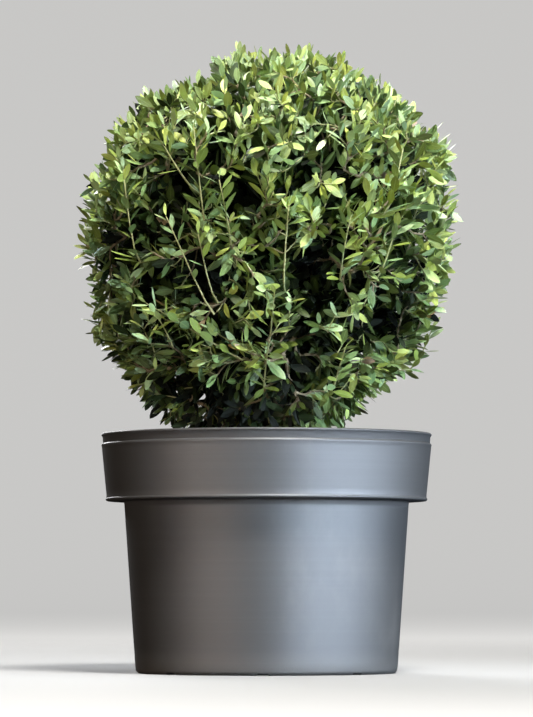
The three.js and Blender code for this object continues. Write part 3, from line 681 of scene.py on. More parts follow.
def cutters():
    """The drain holes and the foot's channels as closed bodies: turned rods and boxes set round the axis."""
    rod = [(0, -DRAIN_REACH), (DRAIN_RADIUS, -DRAIN_REACH), (DRAIN_RADIUS, DRAIN_REACH), (0, DRAIN_REACH)]
    rod_points, (rod_quads, rod_triangles) = turned(rod, DRAIN_SEGMENTS)
    rod_points = rod_points + ((GROOVE_INNER + GROOVE_OUTER) / 2, 0, 0)
    box_points = (BOX_CORNERS + (1, 0, 0)) * (CHANNEL_LENGTH / 2, CHANNEL_WIDTH / 2, CHANNEL_HEIGHT)
    points = np.concatenate([rod_points, box_points + (GROOVE_OUTER - CHANNEL_OVERLAP, 0, 0)])
    angles = 2 * np.pi * np.arange(DRAIN_COUNT) / DRAIN_COUNT
    turns = [[[np.cos(a), np.sin(a), 0], [-np.sin(a), np.cos(a), 0], [0, 0, 1]] for a in angles]
    quads = np.concatenate([rod_quads, BOX_QUADS + len(rod_points)])
    bodies = (points @ np.array(turns)).reshape(-1, 3)
    return bodies, copied([quads, rod_triangles], DRAIN_COUNT, len(points))


def make_pot():
    """The pot, turned from its section, with the drain holes and channels cut out of its foot."""
    material = finished("pot_plastic", moulded_grey, relief=0.18, reach=0.0006, settings=SATIN)
    pot = make_piece("pot_shell", *turned(pot_profile(), POT_SEGMENTS), "pot_plastic", material, ["pot"])
    cutter = make_piece("pot_cutter", *cutters(), "pot_plastic", material)
    cut = pot.modifiers.new("drainage", "BOOLEAN")
    cut.operation = "DIFFERENCE"
    cut.solver = "EXACT"
    cut.object = cutter
    shaped = bpy.data.meshes.new_from_object(pot.evaluated_get(bpy.context.evaluated_depsgraph_get()))
    pot.modifiers.clear()
    pot.data = shaped
    shaped.name = "pot_shell"
    shaped.set_sharp_from_angle(angle=math.radians(SHARP_ANGLE))
    bpy.data.objects.remove(cutter)


def mulch_height(x, y):
    """Height of the mulch: a mound from rim to trunk, dished at the trunk, with crossed sines and lumps."""
    share = 1 - np.minimum(np.hypot(x, y) / MULCH_RADIUS, 1)
    mound = MULCH_MOUND * np.sin(np.pi * share) - MULCH_DISH * share**3
    waves = np.sin(0.31 * x + 1.7) * np.cos(0.27 * y) + np.sin(0.13 * (x - y))
    place = np.stack([x, y, np.zeros_like(x)], axis=-1)
    lumps = 1.1 * ripple(place, 17, seed=3) + 0.7 * ripple(place, 7, seed=4)
    return MULCH_EDGE + mound + MULCH_ROUGHNESS * waves + lumps * np.minimum(1, 6 * share)


def make_mulch_bed(material):
    """The bed under the loose mulch: the mulch's height over rings out to the wall, and a flat underside."""
    radii = np.linspace(0, MULCH_RADIUS - BED_MARGIN, BED_RINGS)[1:]
    edge = (MULCH_RADIUS - BED_MARGIN - BED_CHAMFER, 0)
    profile = [(0, 0), edge, *((radius, 1) for radius in radii[::-1]), (0, 0)]
    points, faces = turned(profile, BED_SEGMENTS)
    on_top = points[:, 2] > 0.5
    on_top[-1] = True
    points[:, 2] = np.where(on_top, mulch_height(points[:, 0], points[:, 1]) - BED_SINK, MULCH_FOOT)
    make_piece("mulch_bed", points, faces, "mulch", material, ["fibre_mulch"])


def scattered(count, seed):
    """Places on the mulch from trunk to wall, evenly by area, with their heights, and random headings."""
    draw = np.random.default_rng(seed)
    radius = np.sqrt(draw.uniform(BARE_RADIUS**2, (MULCH_RADIUS - LOOSE_MARGIN) ** 2, count))
    angle = draw.uniform(0, 2 * np.pi, count)
    x, y = radius * np.cos(angle), radius * np.sin(angle)
    return draw, np.stack([x, y, mulch_height(x, y)], axis=-1), draw.uniform(0, 2 * np.pi, count)


def make_fibres(name, count, seed, material, thickness):
    """Loose fibres: thin three-sided tubes on shallow arcs along the mulch, their ends a little raised."""
    draw, middles, turn = scattered(count, seed)
    cosine, sine = np.cos(turn)[:, None], np.sin(turn)[:, None]
    shares = np.linspace(-1, 1, FIBRE_RINGS)
    half = draw.uniform(*FIBRE_HALVES, count)[:, None]
    curve = draw.normal(0, FIBRE_CURVE, count)[:, None]
    forward = half * shares * np.cos(curve * shares)
    aside = half * curve * (shares**2 - 0.4)
    x = middles[:, :1] + forward * cosine - aside * sine
    y = middles[:, 1:2] + forward * sine + aside * cosine
    pull = np.minimum(1, (MULCH_RADIUS - FIBRE_MARGIN) / np.hypot(x, y))
    x, y = x * pull, y * pull
    lift = draw.uniform(*FIBRE_LIFTS, count)[:, None] + draw.normal(0, FIBRE_TILT, count)[:, None] * shares
    z = np.minimum(mulch_height(x, y) + lift + FIBRE_RISE * shares**2, HIGHEST_FIBRE)
    points = np.stack([x, y, z], axis=-1)
    radii = draw.uniform(*thickness, count)[:, None] * (1 - FIBRE_TAPER * np.abs(shares))
    vertices, faces, uv = tubes(points, unit(np.gradient(points, axis=1)), radii, 3)
    make_piece(name, vertices, faces, "mulch", material, uv=uv)


def make_chips(name, count, seed, material):
    """Wood chips: flat tapered slabs, each a box whose ends are narrowed and skewed, lying almost level.
    One that would reach the pot's wall is moved inwards."""
    draw, middles, turn = scattered(count, seed)
    shape = np.repeat(BOX_CORNERS[None], count, axis=0)
    shape[:, :, 1] *= 1 - draw.uniform(0, CHIP_NARROWING, (count, 1)) * (shape[:, :, 0] > 0)
    shape[:, :, 0] += draw.uniform(-CHIP_SKEW, CHIP_SKEW, (count, 1)) * shape[:, :, 1]
    shape *= np.stack([draw.uniform(*sizes, count) for sizes in CHIP_HALVES], axis=1)[:, None, :]
    forward = unit(np.stack([np.cos(turn), np.sin(turn), draw.normal(0, CHIP_TILTS[0], count)], axis=1))
    normal = unit(UP + draw.normal(0, CHIP_TILTS[1], (count, 3)))
    across = unit(np.cross(normal, forward))
    axes = np.stack([forward, across, np.cross(forward, across)], axis=1)
    points = np.einsum("nij,njk->nik", shape, axes) + middles[:, None]
    points[:, :, 2] += draw.uniform(0, CHIP_LIFT, (count, 1))
    beyond = np.hypot(points[..., 0], points[..., 1]).max(axis=1) - (MULCH_RADIUS - CHIP_MARGIN)
    points[..., :2] -= np.maximum(beyond, 0)[:, None, None] * unit(middles[:, :2])[:, None]
    faces = copied([BOX_QUADS], count, len(BOX_CORNERS))
    chips = make_piece(name, points.reshape(-1, 3), faces, "mulch", material)
    chips.data.polygons.foreach_set("use_smooth", np.zeros(len(chips.data.polygons), bool))


# Crown: the space that each mass of foliage owns


def bells(directions, places):
    """The sum in each direction of a bell curve at every place: azimuth, elevation, half width, height."""
    total = np.zeros(len(directions))
    for azimuth, elevation, width, height in places:
        apart = np.arccos(np.clip(directions @ heading(azimuth, elevation), -1, 1)) / math.radians(width)
        total += height * np.exp(-(apart**2))
    return total


def crown_lean(height):
    """How far the outline's middle lies to +X at a height: from its foot to its top it shifts evenly."""
    foot, top = CROWN_PROFILE[0, 0], CROWN_PROFILE[-1, 0]
    return FOOT_LEAN + (TOP_LEAN - FOOT_LEAN) * (height - foot) / (top - foot)


def outline_reach(directions):
    """How far the outline lies from the crown's centre: where a ray meets the profile, found by halving."""
    inside, outside = np.zeros(len(directions)), np.full(len(directions), FAR_OUTSIDE)
    for _ in range(HALVINGS):
        middle = (inside + outside) / 2
        height = CROWN_CENTRE[2] + middle * directions[:, 2]
        radius = np.interp(height, CROWN_PROFILE[:, 0], CROWN_PROFILE[:, 1], left=0, right=0)
        aside = middle * directions[:, 0] - crown_lean(height)
        within = np.hypot(aside, middle * directions[:, 1]) < radius
        inside = np.where(within, middle, inside)
        outside = np.where(within, outside, middle)
    return inside


def crown_reach(directions):
    """The clipped surface: the outline's reach, swelled by crossed waves and sunk at the hollows."""
    azimuth = np.arctan2(directions[:, 0], -directions[:, 1])
    swell = np.sin(5 * azimuth + 1.3) * np.cos(4 * directions[:, 2] + 0.4)
    level = np.hypot(directions[:, 0], directions[:, 1])
    return outline_reach(directions) * (1 + SWELL * level * swell - bells(directions, HOLLOWS))


def trunk_points(shares):
    """The trunk's axis: upright at the soil, then leaning to the fork."""
    x, y = TRUNK_LEAN
    upright, leaning = TRUNK_FOOT + UPRIGHT_LENGTH, TRUNK_FOOT + LEANING_FROM
    knots = [(0, 0, TRUNK_FOOT), (0, 0, upright), (0.7 * x, 0.2 * y, leaning), (x, y, FORK_HEIGHT)]
    return smooth_path(knots, shares)


def make_sites():
    """Every mass: its name and place, the bough that climbs to it from the trunk, the bough's last heading
    and its girth."""
    sites = []
    for ring, count, turn, elevation, reach, root_height, girth in RINGS:
        for i in range(count):
            place = CROWN_CENTRE + reach * heading(turn + 360 * i / count, elevation)
            height = root_height - ROOT_STAGGER * (i % 2)
            root = trunk_points([(height - TRUNK_FOOT) / (FORK_HEIGHT - TRUNK_FOOT)])[0]
            arriving = unit(place - root)
            out = arriving * (1, 1, 0)
            leaving = unit(BOUGH_SPREAD * out / max(np.linalg.norm(out), 1e-6) + UP)
            bough = bend(root, leaving, place - BOUGH_STOP * arriving, arriving)
            sites.append((f"{ring}_{i + 1}" if count > 1 else ring, place, bough, arriving, girth))
    names, *values = zip(*sites)
    return names, *(np.array(value) for value in values)


SITE_NAMES, PLACES, BOUGHS, ARRIVING, GIRTHS = make_sites()
MASSES = [f"foliage_{name}" for name in SITE_NAMES]


def owners(points):
    """The number of the nearest site to each point, and how far the point lies inside that site's space."""
    squares = ((points[:, None] - PLACES) ** 2).sum(axis=2)
    nearest = squares.argmin(axis=1)
    own = squares[np.arange(len(points)), nearest]
    between = 2 * np.linalg.norm(PLACES[nearest][:, None] - PLACES, axis=2)
    between[between == 0] = np.inf
    inside = (squares - own[:, None]) / between
    inside[np.arange(len(points)), nearest] = np.inf
    return nearest, inside.min(axis=1)


def tip_field():
    """Twig tips on a golden spiral, in layers under the clipped outline. Smooth noise over the ball lifts
    them into tufts and sinks and thins them in between, and the hollows are thinned as well. The crown's
    foot stays dense."""
    i = np.arange(TIP_COUNT)
    directions = heading(i * GOLDEN_ANGLE, np.degrees(np.arcsin(1 - 2 * (i + 0.5) / TIP_COUNT)))
    draw = chance(i, 31)
    layer = np.select([draw < limit for limit, _ in LAYERS], [depth for _, depth in LAYERS])
    uneven = (layer > OUTER_LAYER) & (directions[:, 2] > DENSE_BELOW)
    tuft = ripple(directions * BALL_RADIUS, TUFT_WIDTH, seed=21)
    share = TIP_REACH + LOW_REACH * np.maximum(0, -directions[:, 2]) + TIP_SCATTER * (chance(i, 1) - 0.5)
    share += STRAY_REACH * (chance(i, 5) > 1 - STRAY_SHARE)
    share += uneven * np.where(tuft < 0, TUFT_DEPTH, TUFT_HEIGHT) * tuft
    points = CROWN_CENTRE + directions * (share * layer * crown_reach(directions))[:, None]
    owner, inside = owners(points)
    sunk = np.clip((bells(directions, HOLLOWS) - HOLLOW_EDGE) / HOLLOW_RISE, 0, 1)
    thinning = HOLLOW_THINNING * sunk + TUFT_THINNING * np.maximum(0, -tuft)
    thinned = (chance(i, 9) < thinning) & uneven
    kept = (inside > SPACE_GAP) & (points[:, 2] > FOLIAGE_FLOOR) & ~thinned
    places = {"point": points, "direction": directions, "owner": owner}
    field = {**places, "number": i, "layer": layer, "tuft": tuft}
    return {key: value[kept] for key, value in field.items()}


def on_front(x, z, share):
    """The point of the crown's front at a place across and up, at a share of the crown's radius there."""
    radius = share * np.interp(z, CROWN_PROFILE[:, 0], CROWN_PROFILE[:, 1])
    return np.array([x, -math.sqrt(max(radius**2 - (x - crown_lean(z)) ** 2, 0)), z])


def sprig_line(sprig):
    """Foot and tip of a shown sprig on the crown's front."""
    foot_x, foot_z, tip_x, tip_z, share, _ = sprig
    return on_front(foot_x, foot_z, share * JUST_UNDER), on_front(tip_x, tip_z, share)


def grow(site, tips):
    """The branchwork of one mass: each tip grows from the joint that costs the least length and turning.
    Returns its twigs in the order of growth: curve, parent, number, layer, tuft and leafy length."""
    start = PLACES[site] - (BOUGH_STOP - STEM_CLEARANCE) * ARRIVING[site]
    places = [start + share * (PLACES[site] - start) for share in STEM_JOINTS]
    headings = [ARRIVING[site]] * len(STEM_JOINTS)
    parents = [-1] * len(STEM_JOINTS)
    twigs = []

    def joint_for(point):
        way = point - np.array(places)
        length = np.linalg.norm(way, axis=1)
        turning = 1 - (way * np.array(headings)).sum(axis=1) / length
        best = int(np.argmin(length * (1 + TURN_COST * turning)))
        return places[best] - TWIG_SINK * headings[best], headings[best], parents[best]

    mine = np.flatnonzero(tips["owner"] == site)
    order = np.argsort(np.linalg.norm(tips["point"][mine] - PLACES[site], axis=1), kind="stable")
    for k in mine[order]:
        point, direction, number = tips["point"][k], tips["direction"][k], tips["number"][k]
        root, leaving, parent = joint_for(point)
        curve = bend(root, leaving, point, unit(direction + (UPWARD_PULL + LOW_PULL * direction[2]) * UP))
        zone = drawn(LEAF_ZONES, number, 33)
        points, ahead = along_curve(curve, TWIG_JOINTS)
        places.extend(points)
        headings.extend(ahead)
        parents.extend([len(twigs)] * len(TWIG_JOINTS))
        twigs.append((curve, parent, number, tips["layer"][k], tips["tuft"][k], zone))
    for number, sprig in enumerate(SPRIGS):
        foot, tip = sprig_line(sprig)
        if owners(foot[None])[0][0] == site:
            root, _, parent = joint_for(foot)
            line = tip - foot
            curve = np.array([root, foot - SPRIG_LEAD * line, foot + line / 2 + SPRIG_ARCH * UP, tip])
            zone = sprig[5] * np.linalg.norm(line)
            twigs.append((curve, parent, TIP_COUNT + number, SPRIG_LAYER, 1.0, zone))
    return twigs


def make_branchwork():
    """All twigs of the crown as arrays, each with the number of tips that it carries."""
    tips = tip_field()
    grown = []
    for site in range(len(PLACES)):
        base = len(grown)
        for curve, parent, *rest in grow(site, tips):
            grown.append((curve, parent + base if parent >= 0 else -1, *rest))
    curves, parents, *values = zip(*grown)
    load = np.ones(len(curves))
    for k in range(len(curves) - 1, -1, -1):
        if parents[k] >= 0:
            load[parents[k]] += load[k]
    named = {key: np.array(value, float) for key, value in zip(("number", "layer", "tuft", "zone"), values)}
    return {"curve": np.array(curves), "load": load, **named}


def make_twigs(branchwork, chosen, name, sides, rings, material):
    """The chosen twigs as tubes, thick by a power of the tips that they carry, and thin at the end."""
    shares = np.linspace(0, 1, rings)
    points, headings = along_curve(branchwork["curve"][chosen][:, None], shares)
    grown = SHOOT_RADIUS * WOOD_GIRTH * branchwork["load"][chosen] ** GIRTH_POWER
    on_sprig = branchwork["layer"][chosen] == SPRIG_LAYER
    thick = np.where(on_sprig, SPRIG_RADIUS, np.minimum(grown, THICKEST_TWIG))[:, None]
    radii = thick + (SHOOT_RADIUS - thick) * shares**TAPER_POWER
    wobble = TWIG_WOBBLE * ripple(points, WOBBLE_LENGTH, seed=8) * np.sin(np.pi * shares)
    points = points + wobble[..., None] * np.cross(headings, UP)
    vertices, faces, uv = tubes(points, headings, radii, sides)
    make_piece(name, vertices, faces, "bark", material, MASSES, uv=uv)


def make_stems(material):
    """The stem of each mass: it carries its bough on, as a tapering tube, to the middle of the mass."""
    starts = PLACES - (BOUGH_STOP + STEM_OVERLAP) * ARRIVING
    shares = np.linspace(0, 1, STEM_RINGS)
    points = starts[:, None] + shares[:, None] * (PLACES - starts)[:, None]
    radii = GIRTHS[:, None] * BOUGH_TAPER * (1 - (1 - STEM_TAPER) * shares)
    headings = np.repeat(ARRIVING[:, None], len(shares), axis=1)
    vertices, faces, uv = tubes(points, headings, radii, STEM_SIDES)
    make_piece("stems", vertices, faces, "bark", material, MASSES, uv=uv)


def limb_relief(points, radii, sides, depth, seed):
    """Radii round each ring with the bark's relief: long shallow fissures, as sines of the angle that drift
    along the limb, and lumps of smooth noise."""
    angles = np.linspace(0, 2 * np.pi, sides, endpoint=False)
    along = np.linalg.norm(points - points[:, :1], axis=2)[..., None]
    drift = np.sin(0.11 * along + seed) + 0.6 * np.sin(0.047 * along + 2 * seed)
    fissures = np.sin(7 * angles + 1.6 * drift) * np.sin(0.21 * along + 3 * angles + seed)
    fine = np.sin(13 * angles - 2.1 * drift + 1) * np.sin(0.37 * along - 2 * angles)
    lumps = ripple(points, 31, seed=seed + 20)[..., None]
    return radii[..., None] * (1 + depth * (0.5 * fissures + 0.35 * fine + lumps))


def make_trunk(material):
    """The trunk: a tapering limb on its leaning axis, with a lobed flare at the soil and bark relief."""
    shares = np.linspace(0, 1, TRUNK_RINGS)
    points = trunk_points(shares)[None]
    angles = np.linspace(0, 2 * np.pi, TRUNK_SIDES, endpoint=False)
    flare = FLARE_RADIUS * np.exp(-shares * (FORK_HEIGHT - TRUNK_FOOT) / FLARE_HEIGHT)
    lobes = 1 + FLARE_LOBE_DEPTH * np.cos(FLARE_LOBES * angles + FLARE_TURN)
    taper = (TRUNK_BASE_RADIUS + (TRUNK_TOP_RADIUS - TRUNK_BASE_RADIUS) * shares)[None]
    radii = limb_relief(points, taper, TRUNK_SIDES, TRUNK_RELIEF, seed=1) + flare[:, None] * lobes
    headings = unit(np.gradient(points, axis=1))
    vertices, faces, uv = tubes(points, headings, radii, TRUNK_SIDES, foot_bulge=0)
    make_piece("trunk_bark", vertices, faces, "bark", material, ["trunk"], uv=uv)


def make_boughs(material):
    """The boughs: tapering limbs on the source's curves, each with a collar where it leaves the trunk."""
    shares = np.linspace(0, 1, BOUGH_RINGS)
    points, headings = along_curve(BOUGHS[:, None], shares)
    collar = 1 + COLLAR_SWELL * np.exp(-shares * COLLAR_FADE)
    taper = GIRTHS[:, None] * (1 + (BOUGH_TAPER - 1) * shares) * collar
    radii = limb_relief(points, taper, BOUGH_SIDES, BOUGH_RELIEF, seed=2)
    vertices, faces, uv = tubes(points, headings, radii, BOUGH_SIDES)
    make_piece("boughs", vertices, faces, "bark", material, [f"bough_{name}" for name in SITE_NAMES], uv=uv)


# Leaves


def in_front_of_sprigs(points):
    """Where points hide the bare part of a shown sprig from the front: beside its line by less than the
    clearing, and nearer to the front than it."""
    hidden = np.zeros(len(points), bool)
    for sprig in SPRIGS:
        foot, tip = sprig_line(sprig)
        line = (tip - foot)[[0, 2]] * (1 - LEAFY_COVER * sprig[5])
        beside = points[:, [0, 2]] - foot[[0, 2]]
        along = np.clip(beside @ line / (line @ line), -0.1, 1)
        near = np.linalg.norm(beside - along[:, None] * line, axis=1) < SPRIG_CLEARING
        hidden |= near & (points[:, 1] < foot[1] + SPRIG_CLEARING_DEPTH)
    return hidden


def leaf_row(branchwork, i, leafy, share):
    """The leaves of one rank, counted from the tip, at their shares of the leafy twigs' lengths. Each turns
    from the last by the golden angle, or stands across from it on a shown sprig, and tilts and sways a
    little by chance."""
    number, layer = branchwork["number"][leafy], branchwork["layer"][leafy]
    on_sprig = layer == SPRIG_LAYER
    points, ahead = along_curve(branchwork["curve"][leafy], share)
    turn = np.radians(i * GOLDEN_ANGLE + 360 * chance(number, 2))[:, None]
    side = unit(np.cross(np.array([1, 0.2, 0.1]), ahead))
    side = side * np.cos(turn) + np.cross(ahead, side) * np.sin(turn)
    outward = unit(points - CROWN_CENTRE)
    ranked = unit(np.cross(ahead, outward)) * (1 - 2 * (i % 2))
    ranked = ranked + drawn(RANK_LIFTS, number, i + 70)[:, None] * outward
    side = np.where(on_sprig[:, None], unit(ranked), side)
    lean = LEAF_TILT + TILT_SCATTER * (chance(number, i + 3) - 0.5) + TILT_STEP * min(i, TILT_STEPS)
    tilt = np.broadcast_to(np.radians(TERMINAL_TILT if i == 0 else lean), number.shape)[:, None]
    way = ahead * np.cos(tilt) + side * np.sin(tilt)
    above = ahead + FACE_LIFT * UP
    face = unit(above - way * (above * way).sum(axis=1, keepdims=True))
    sway = np.radians(SWAY_SCATTER * (chance(number, i + 60) - 0.5))[:, None]
    young = YOUNG_LENGTHS[i] if i < len(YOUNG_LENGTHS) else 1.0
    size = LEAF_LENGTH * young * drawn(LEAF_SIZES, number, i + 20)
    bare = np.select([layer < DEEP_LAYER, layer < OUTER_LAYER], [BARE_DEEP, BARE_UNDER], BARE_OUTER)
    return {
        "root": points - STALK_SINK * way,
        "way": way,
        "face": unit(face * np.cos(sway) + np.cross(way, face) * np.sin(sway)),
        "size": np.where(on_sprig, SPRIG_LEAF_GROWTH, 1) * size,
        "twig": leafy,
        "rank": np.full(len(leafy), i),
        "key": number + 0.37 * i,
        "keep": chance(number, i + 90) > bare,
    }


def place_leaves(branchwork):
    """Leaves along the outer end of every twig, as arrays of root, heading, face and size. A leaf that
    would leave the clipped outline, hang too low in the pot's mouth or hide a shown sprig is left out, and
    so are a few more."""
    lengths = np.linalg.norm(branchwork["curve"][:, 3] - branchwork["curve"][:, 0], axis=1)
    spacing = np.where(branchwork["layer"] == SPRIG_LAYER, SPRIG_SPACING, LEAF_SPACING)
    rows = []
    for i in range(MOST_LEAVES):
        leafy = np.flatnonzero(np.minimum(branchwork["zone"], LEAFIEST * lengths) > i * spacing)
        jitter = SPACING_SCATTER * (chance(branchwork["number"][leafy], i + 45) - 0.5) * (i > 0)
        share = 1 - (i * spacing[leafy] + jitter) / lengths[leafy]
        rows.append(leaf_row(branchwork, i, leafy, share))
    leaves = {key: np.concatenate([row[key] for row in rows]) for key in rows[0]}
    tips = leaves["root"] + leaves["way"] * leaves["size"][:, None]
    outward = tips - CROWN_CENTRE
    distance = np.linalg.norm(outward, axis=1)
    reach = crown_reach(outward / distance[:, None])
    on_sprig = branchwork["layer"][leaves["twig"]] == SPRIG_LAYER
    middles = (leaves["root"] + tips) / 2
    fits = ((distance < ROOM_SHARE * reach + ROOM) & ~in_front_of_sprigs(middles)) | on_sprig
    kept = fits & (tips[:, 2] > LOWEST_LEAF) & leaves["keep"]
    return {key: value[kept] for key, value in leaves.items()}


def deal_tints(branchwork, leaves):
    """A tint for each leaf, dealt out by spray: brighter up, in front and to the right as painted light, on
    the tufts partly as painted light, and at the twigs' tips; darker low, in the hollows and the deeper the
    leaf lies under the clipped outline, as painted shade."""
    ends = branchwork["curve"][:, 3]
    direction = unit(ends - CROWN_CENTRE)
    number, layer = branchwork["number"], branchwork["layer"]
    fresh_and_lit = MEAN_FRESH_AND_LIT + LIT_SHARE * (direction @ LIT_FROM) + SPRAY_SCATTER * (chance(number, 40) - 0.5)
    fresh_and_lit += PATCH_SHARE * ripple(ends, PATCH_WIDTH, seed=11)
    fresh_and_lit += (TUFT_SHARE * branchwork["tuft"] + bells(direction, TUFTS)) * (layer > OUTER_LAYER)
    fresh_and_lit -= HOLLOW_SHADE * bells(direction, HOLLOWS)
    rank = leaves["rank"]
    young = np.select([rank == 0, rank <= 2], [TIP_FRESH, YOUNG_FRESH], RANK_FRESH - RANK_FADE * rank)
    outward = leaves["root"] + 0.5 * leaves["way"] * leaves["size"][:, None] - CROWN_CENTRE
    distance = np.linalg.norm(outward, axis=1)
    depth = 1 - distance / outline_reach(outward / distance[:, None])
    score = fresh_and_lit[leaves["twig"]] + young + LEAF_SCATTER * (chance(leaves["key"], 7) - 0.5)
    score -= DEPTH_SHARE * np.clip(depth - SHALLOW, 0, DEEPEST)
    on_sprig = (layer == SPRIG_LAYER)[leaves["twig"]]
    score = np.where(on_sprig, SPRIG_FRESH + np.maximum(young, SPRIG_FADED), score)
    tint = np.digitize(score, TINT_LIMITS)
    spots = np.array([on_front(x, z, JUST_UNDER) for x, z in DRY_SPOTS])
    near = np.linalg.norm(ends[:, None] - spots, axis=2).min(axis=1) < DRY_REACH
    dry = (near | (chance(number, 77) > DRY_FROM))[leaves["twig"]]
    return np.where(dry & (chance(leaves["key"], 8) > DRY_LEAVES_FROM), TINT_NAMES.index("dry"), tint)


def leaf_template(rows):
    """A leaf's points and faces: a stalk point, rows of points from edge to edge, and the tip. Each point
    has its share of the length, its side and its share of the width."""
    stations, sides = np.array(rows), np.array([-1, 0, 1])
    count, across = len(stations), len(sides)
    u = np.concatenate([[0], np.repeat(stations[:, 0], across), [1]])
    v = np.concatenate([[0], np.tile(sides, count), [0]])
    wide = np.concatenate([[0], np.repeat(stations[:, 1], across), [0]])
    quads, _ = grid(count, across, False)
    j = np.arange(across - 1)
    tip = count * across + 1
    stalk = np.stack([np.zeros_like(j), j + 2, j + 1], axis=1)
    end = np.stack([np.full_like(j, tip), tip - across + j, tip - across + j + 1], axis=1)
    return u, v, wide, [quads + 1, np.concatenate([stalk, end])]


def make_leaves(name, leaves, kind, material):
    """Leaves as open blades: each point is the root plus u along the heading, v across and a lift off the
    face, which droops with the square of u and cups or folds with the power 1.5 of v."""
    u, v, wide, faces = leaf_template(kind["rows"])
    count = len(leaves["root"])
    key = leaves["key"]
    size = leaves["size"][:, None] * kind["growth"]
    draws = ((3, LEAF_WIDTHS), (4, DROOPS), (5, CUPS), (6, SKEWS))
    wideness, droop, cup, skew = (drawn(limits, key, draw)[:, None] for draw, limits in draws)
    width = size * kind["slimness"] * wideness / 2
    forward = size * u
    aside = width * v * wide + size * skew * u**2
    lift = -size * droop * u**2 - width * cup * wide * np.abs(v) ** 1.5
    across = np.cross(leaves["way"], leaves["face"])
    axes = ((forward, leaves["way"]), (aside, across), (lift, leaves["face"]))
    points = leaves["root"][:, None] + sum(share[..., None] * axis[:, None] for share, axis in axes)
    spread = np.stack([0.5 + 0.5 * v, u], axis=1)
    uv = np.concatenate([np.tile(spread[group.ravel()], (count, 1)) for group in faces])
    tone = np.repeat(chance(key, 12), len(u))
    faces = copied(faces, count, len(u))
    make_piece(name, points.reshape(-1, 3), faces, "foliage", material, MASSES, uv=uv, tone=tone)


def make_foliage():
    """Twigs and leaves of the whole crown, each kind in pieces of its own."""
    branchwork = make_branchwork()
    woody = branchwork["load"] >= WOODY_LOAD
    wood = bark_material("twig_bark", (0.3, 0.24, 0.15), (0.12, 0.09, 0.05), depth=0.5, relief=0.4)
    green = bark_material("shoot_bark", (0.46, 0.47, 0.23), (0.3, 0.29, 0.14), depth=0.35, relief=0.2)
    make_stems(wood)
    make_twigs(branchwork, np.flatnonzero(woody), "twigs_woody", sides=5, rings=8, material=wood)
    make_twigs(branchwork, np.flatnonzero(~woody), "twigs_green", sides=3, rings=6, material=green)
    leaves = place_leaves(branchwork)
    tint = deal_tints(branchwork, leaves)
    inside = branchwork["layer"][leaves["twig"]] < OUTER_LAYER
    materials = [leaf_material(name) for name in TINT_NAMES]
    for prefix, kind, among in (("leaves", OUTER_LEAF, ~inside), ("leaves_inner", INNER_LEAF, inside)):
        for number, name in enumerate(TINT_NAMES):
            chosen = np.flatnonzero((tint == number) & among)
            pieces = math.ceil(len(chosen) / LEAVES_PER_PIECE)
            for k in range(pieces):
                some = {key: value[chosen[k::pieces]] for key, value in leaves.items()}
                make_leaves(f"{prefix}_{name}_{k + 1}", some, kind, materials[number])


# Studio


def stage_material(name):
    """A plain pale material, faintly cloudy. Its glow grows from nothing at the plant to full 2 m away."""
    material, nodes, shader = new_material(name)
    place = nodes.place()
    far = nodes.add("ShaderNodeVectorMath", {0: place}, operation="LENGTH").outputs["Value"]
    dim = tuple(0.96 * part for part in STAGE_COLOUR)
    values = {
        "Base Color": nodes.mix(nodes.noise(place, 1.5), STAGE_COLOUR, dim),
        "Emission Color": nodes.mix(nodes.step(far, 0.35, 2.0), (0, 0, 0), STAGE_COLOUR),
        "Emission Strength": WALL_GLOW,
        "Roughness": 0.85,
    }
    nodes.fill(shader, values)
    return material


def make_stage(name, points, faces):
    """A part of the floor and wall, its faces towards the plant. It throws no light back on the plant."""
    mesh = bpy.data.meshes.new(name)
    mesh.from_pydata([tuple(p) for p in points * MM], [], [tuple(f) for f in faces])
    mesh.polygons.foreach_set("use_smooth", np.ones(len(mesh.polygons), bool))
    mesh.flip_normals()
    mesh.materials.append(stage_material(name))
    stage = bpy.data.objects.new(name, mesh)
    stage.visible_diffuse = False
    stage.visible_glossy = False
    bpy.context.scene.collection.objects.link(stage)


def facing(back):
    """The Euler turn of a camera or lamp whose back points that way, with its top upwards."""
    level = math.hypot(back[0], back[1])
    return (math.atan2(level, back[2]), 0, math.atan2(back[0], -back[1]))


def add_light(name, place, width, height, power, tint, aimed=0.25, spread=180):
    """A soft area light that faces the plant's axis at a height, in metres, and isn't seen itself. Its
    light leaves within a spread in degrees."""
    light = bpy.data.lights.new(name, "AREA")
    light.shape = "RECTANGLE"
    light.size, light.size_y = width, height
    light.energy = power
    light.color = tint
    light.spread = math.radians(spread)
    lamp = bpy.data.objects.new(name, light)
    lamp.location = place
    lamp.rotation_euler = facing(np.array(place) - (0, 0, aimed))
    lamp.visible_camera = False
    bpy.context.scene.collection.objects.link(lamp)


def make_sky():
    """A faint sky: cool from above, the right and the front, and brownish from the other sides."""
    world = bpy.data.worlds.new("studio_sky")
    bpy.context.scene.world = world
    world.use_nodes = True
    nodes = Nodes(world.node_tree)
    way = nodes.parts(nodes.add("ShaderNodeTexCoord").outputs["Generated"])
    slant = nodes.line(way[0], 0.6, nodes.times(way[1], -0.5))
    share = nodes.step(nodes.line(way[2], 0.7, slant), -0.5, 0.9)
    sky = nodes.mix(share, (0.1, 0.09, 0.08), (0.75, 0.88, 1.0))
    nodes.fill(world.node_tree.nodes["Background"], {"Color": sky, "Strength": 0.08})


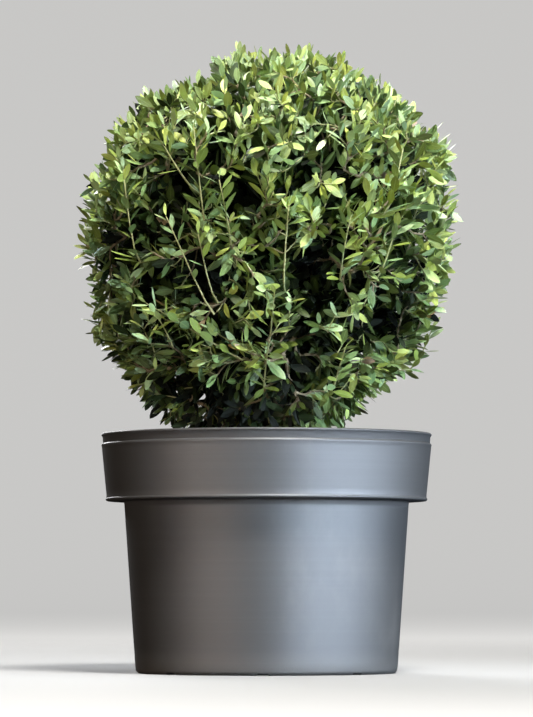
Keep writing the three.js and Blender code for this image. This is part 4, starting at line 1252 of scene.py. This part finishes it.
def make_studio():
    """A pale floor that sweeps up into a round wall, soft lights and a faint sky: the key high in front,
    narrow windows low on the right, a warm fill on the left, and a little light from above and behind."""
    profile = [(0, 0)] + [(radius, 0) for radius in FLOOR_RINGS]
    profile += arc((SWEEP_START, SWEEP_RADIUS), SWEEP_RADIUS, -90, 0, 16)
    profile += [(SWEEP_START + SWEEP_RADIUS, WALL_HEIGHT), (0, WALL_HEIGHT)]
    points, (quads, triangles) = turned(profile, STAGE_SEGMENTS)
    make_stage("studio_floor", points, triangles[:STAGE_SEGMENTS])
    make_stage("studio_wall", points, quads)
    make_sky()
    add_light("key", (0.45, -1.3, 2.45), 0.6, 0.6, 123, (1.0, 0.985, 0.95))
    for number, (azimuth, power) in enumerate(WINDOWS):
        place = 2.2 * heading(azimuth, 0) + (0, 0, 0.3)
        add_light(f"window_{number + 1}", place, 0.6, 0.45, power, (0.67, 0.81, 1.0), aimed=0.1, spread=20)
    add_light("fill", 2.3 * heading(-42, 0) + (0, 0, 0.2), 1.9, 0.4, 16, (1.0, 0.83, 0.7))
    add_light("top", (0.2, 0.0, 2.4), 0.8, 0.8, 14, (0.96, 0.98, 1.0))
    add_light("back", (-0.7, 2.0, 1.3), 1.2, 1.2, 6, (0.97, 0.98, 1.0), spread=55)


def make_camera():
    """The camera at the photograph's place: low, a little to the right, and 2.62 m away."""
    data = bpy.data.cameras.new("camera")
    data.lens = CAMERA_LENS
    data.sensor_width = 36
    data.clip_end = 60
    camera = bpy.data.objects.new("camera", data)
    camera.location = CAMERA_PLACE
    camera.rotation_euler = facing(CAMERA_PLACE - CAMERA_TARGET)
    bpy.context.scene.collection.objects.link(camera)
    bpy.context.scene.camera = camera
    bpy.context.scene.view_settings.view_transform = "Standard"


make_camera()
make_studio()
make_pot()
soil = crumb_material("moist_soil", (0.07, 0.047, 0.03), (0.018, 0.012, 0.008), scale=300.0, balance=0.5)
for material_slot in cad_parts["potting_soil"].material_slots:
    material_slot.material = soil
humus = crumb_material("mulch_bed", (0.3, 0.2, 0.115), (0.05, 0.03, 0.018), scale=420.0, balance=0.52)
make_mulch_bed(humus)
straw = crumb_material("mulch_straw", (0.56, 0.43, 0.26), (0.3, 0.2, 0.11), scale=500.0, balance=0.45)
husk = crumb_material("mulch_husk", (0.3, 0.18, 0.09), (0.09, 0.05, 0.027), scale=500.0, balance=0.5)
make_fibres("mulch_straws", FIBRE_COUNT, seed=5, material=straw, thickness=(0.22, 0.5))
make_fibres("mulch_husks", FIBRE_COUNT // 3, seed=6, material=husk, thickness=(0.25, 0.6))
make_chips("mulch_chips_pale", CHIP_COUNT, seed=7, material=straw)
make_chips("mulch_chips_brown", CHIP_COUNT // 3, seed=8, material=husk)
old_bark = bark_material("old_bark", (0.27, 0.215, 0.145), (0.08, 0.06, 0.04), depth=0.6, relief=0.6)
make_trunk(old_bark)
make_boughs(old_bark)
make_foliage()

bpy.context.view_layer.update()
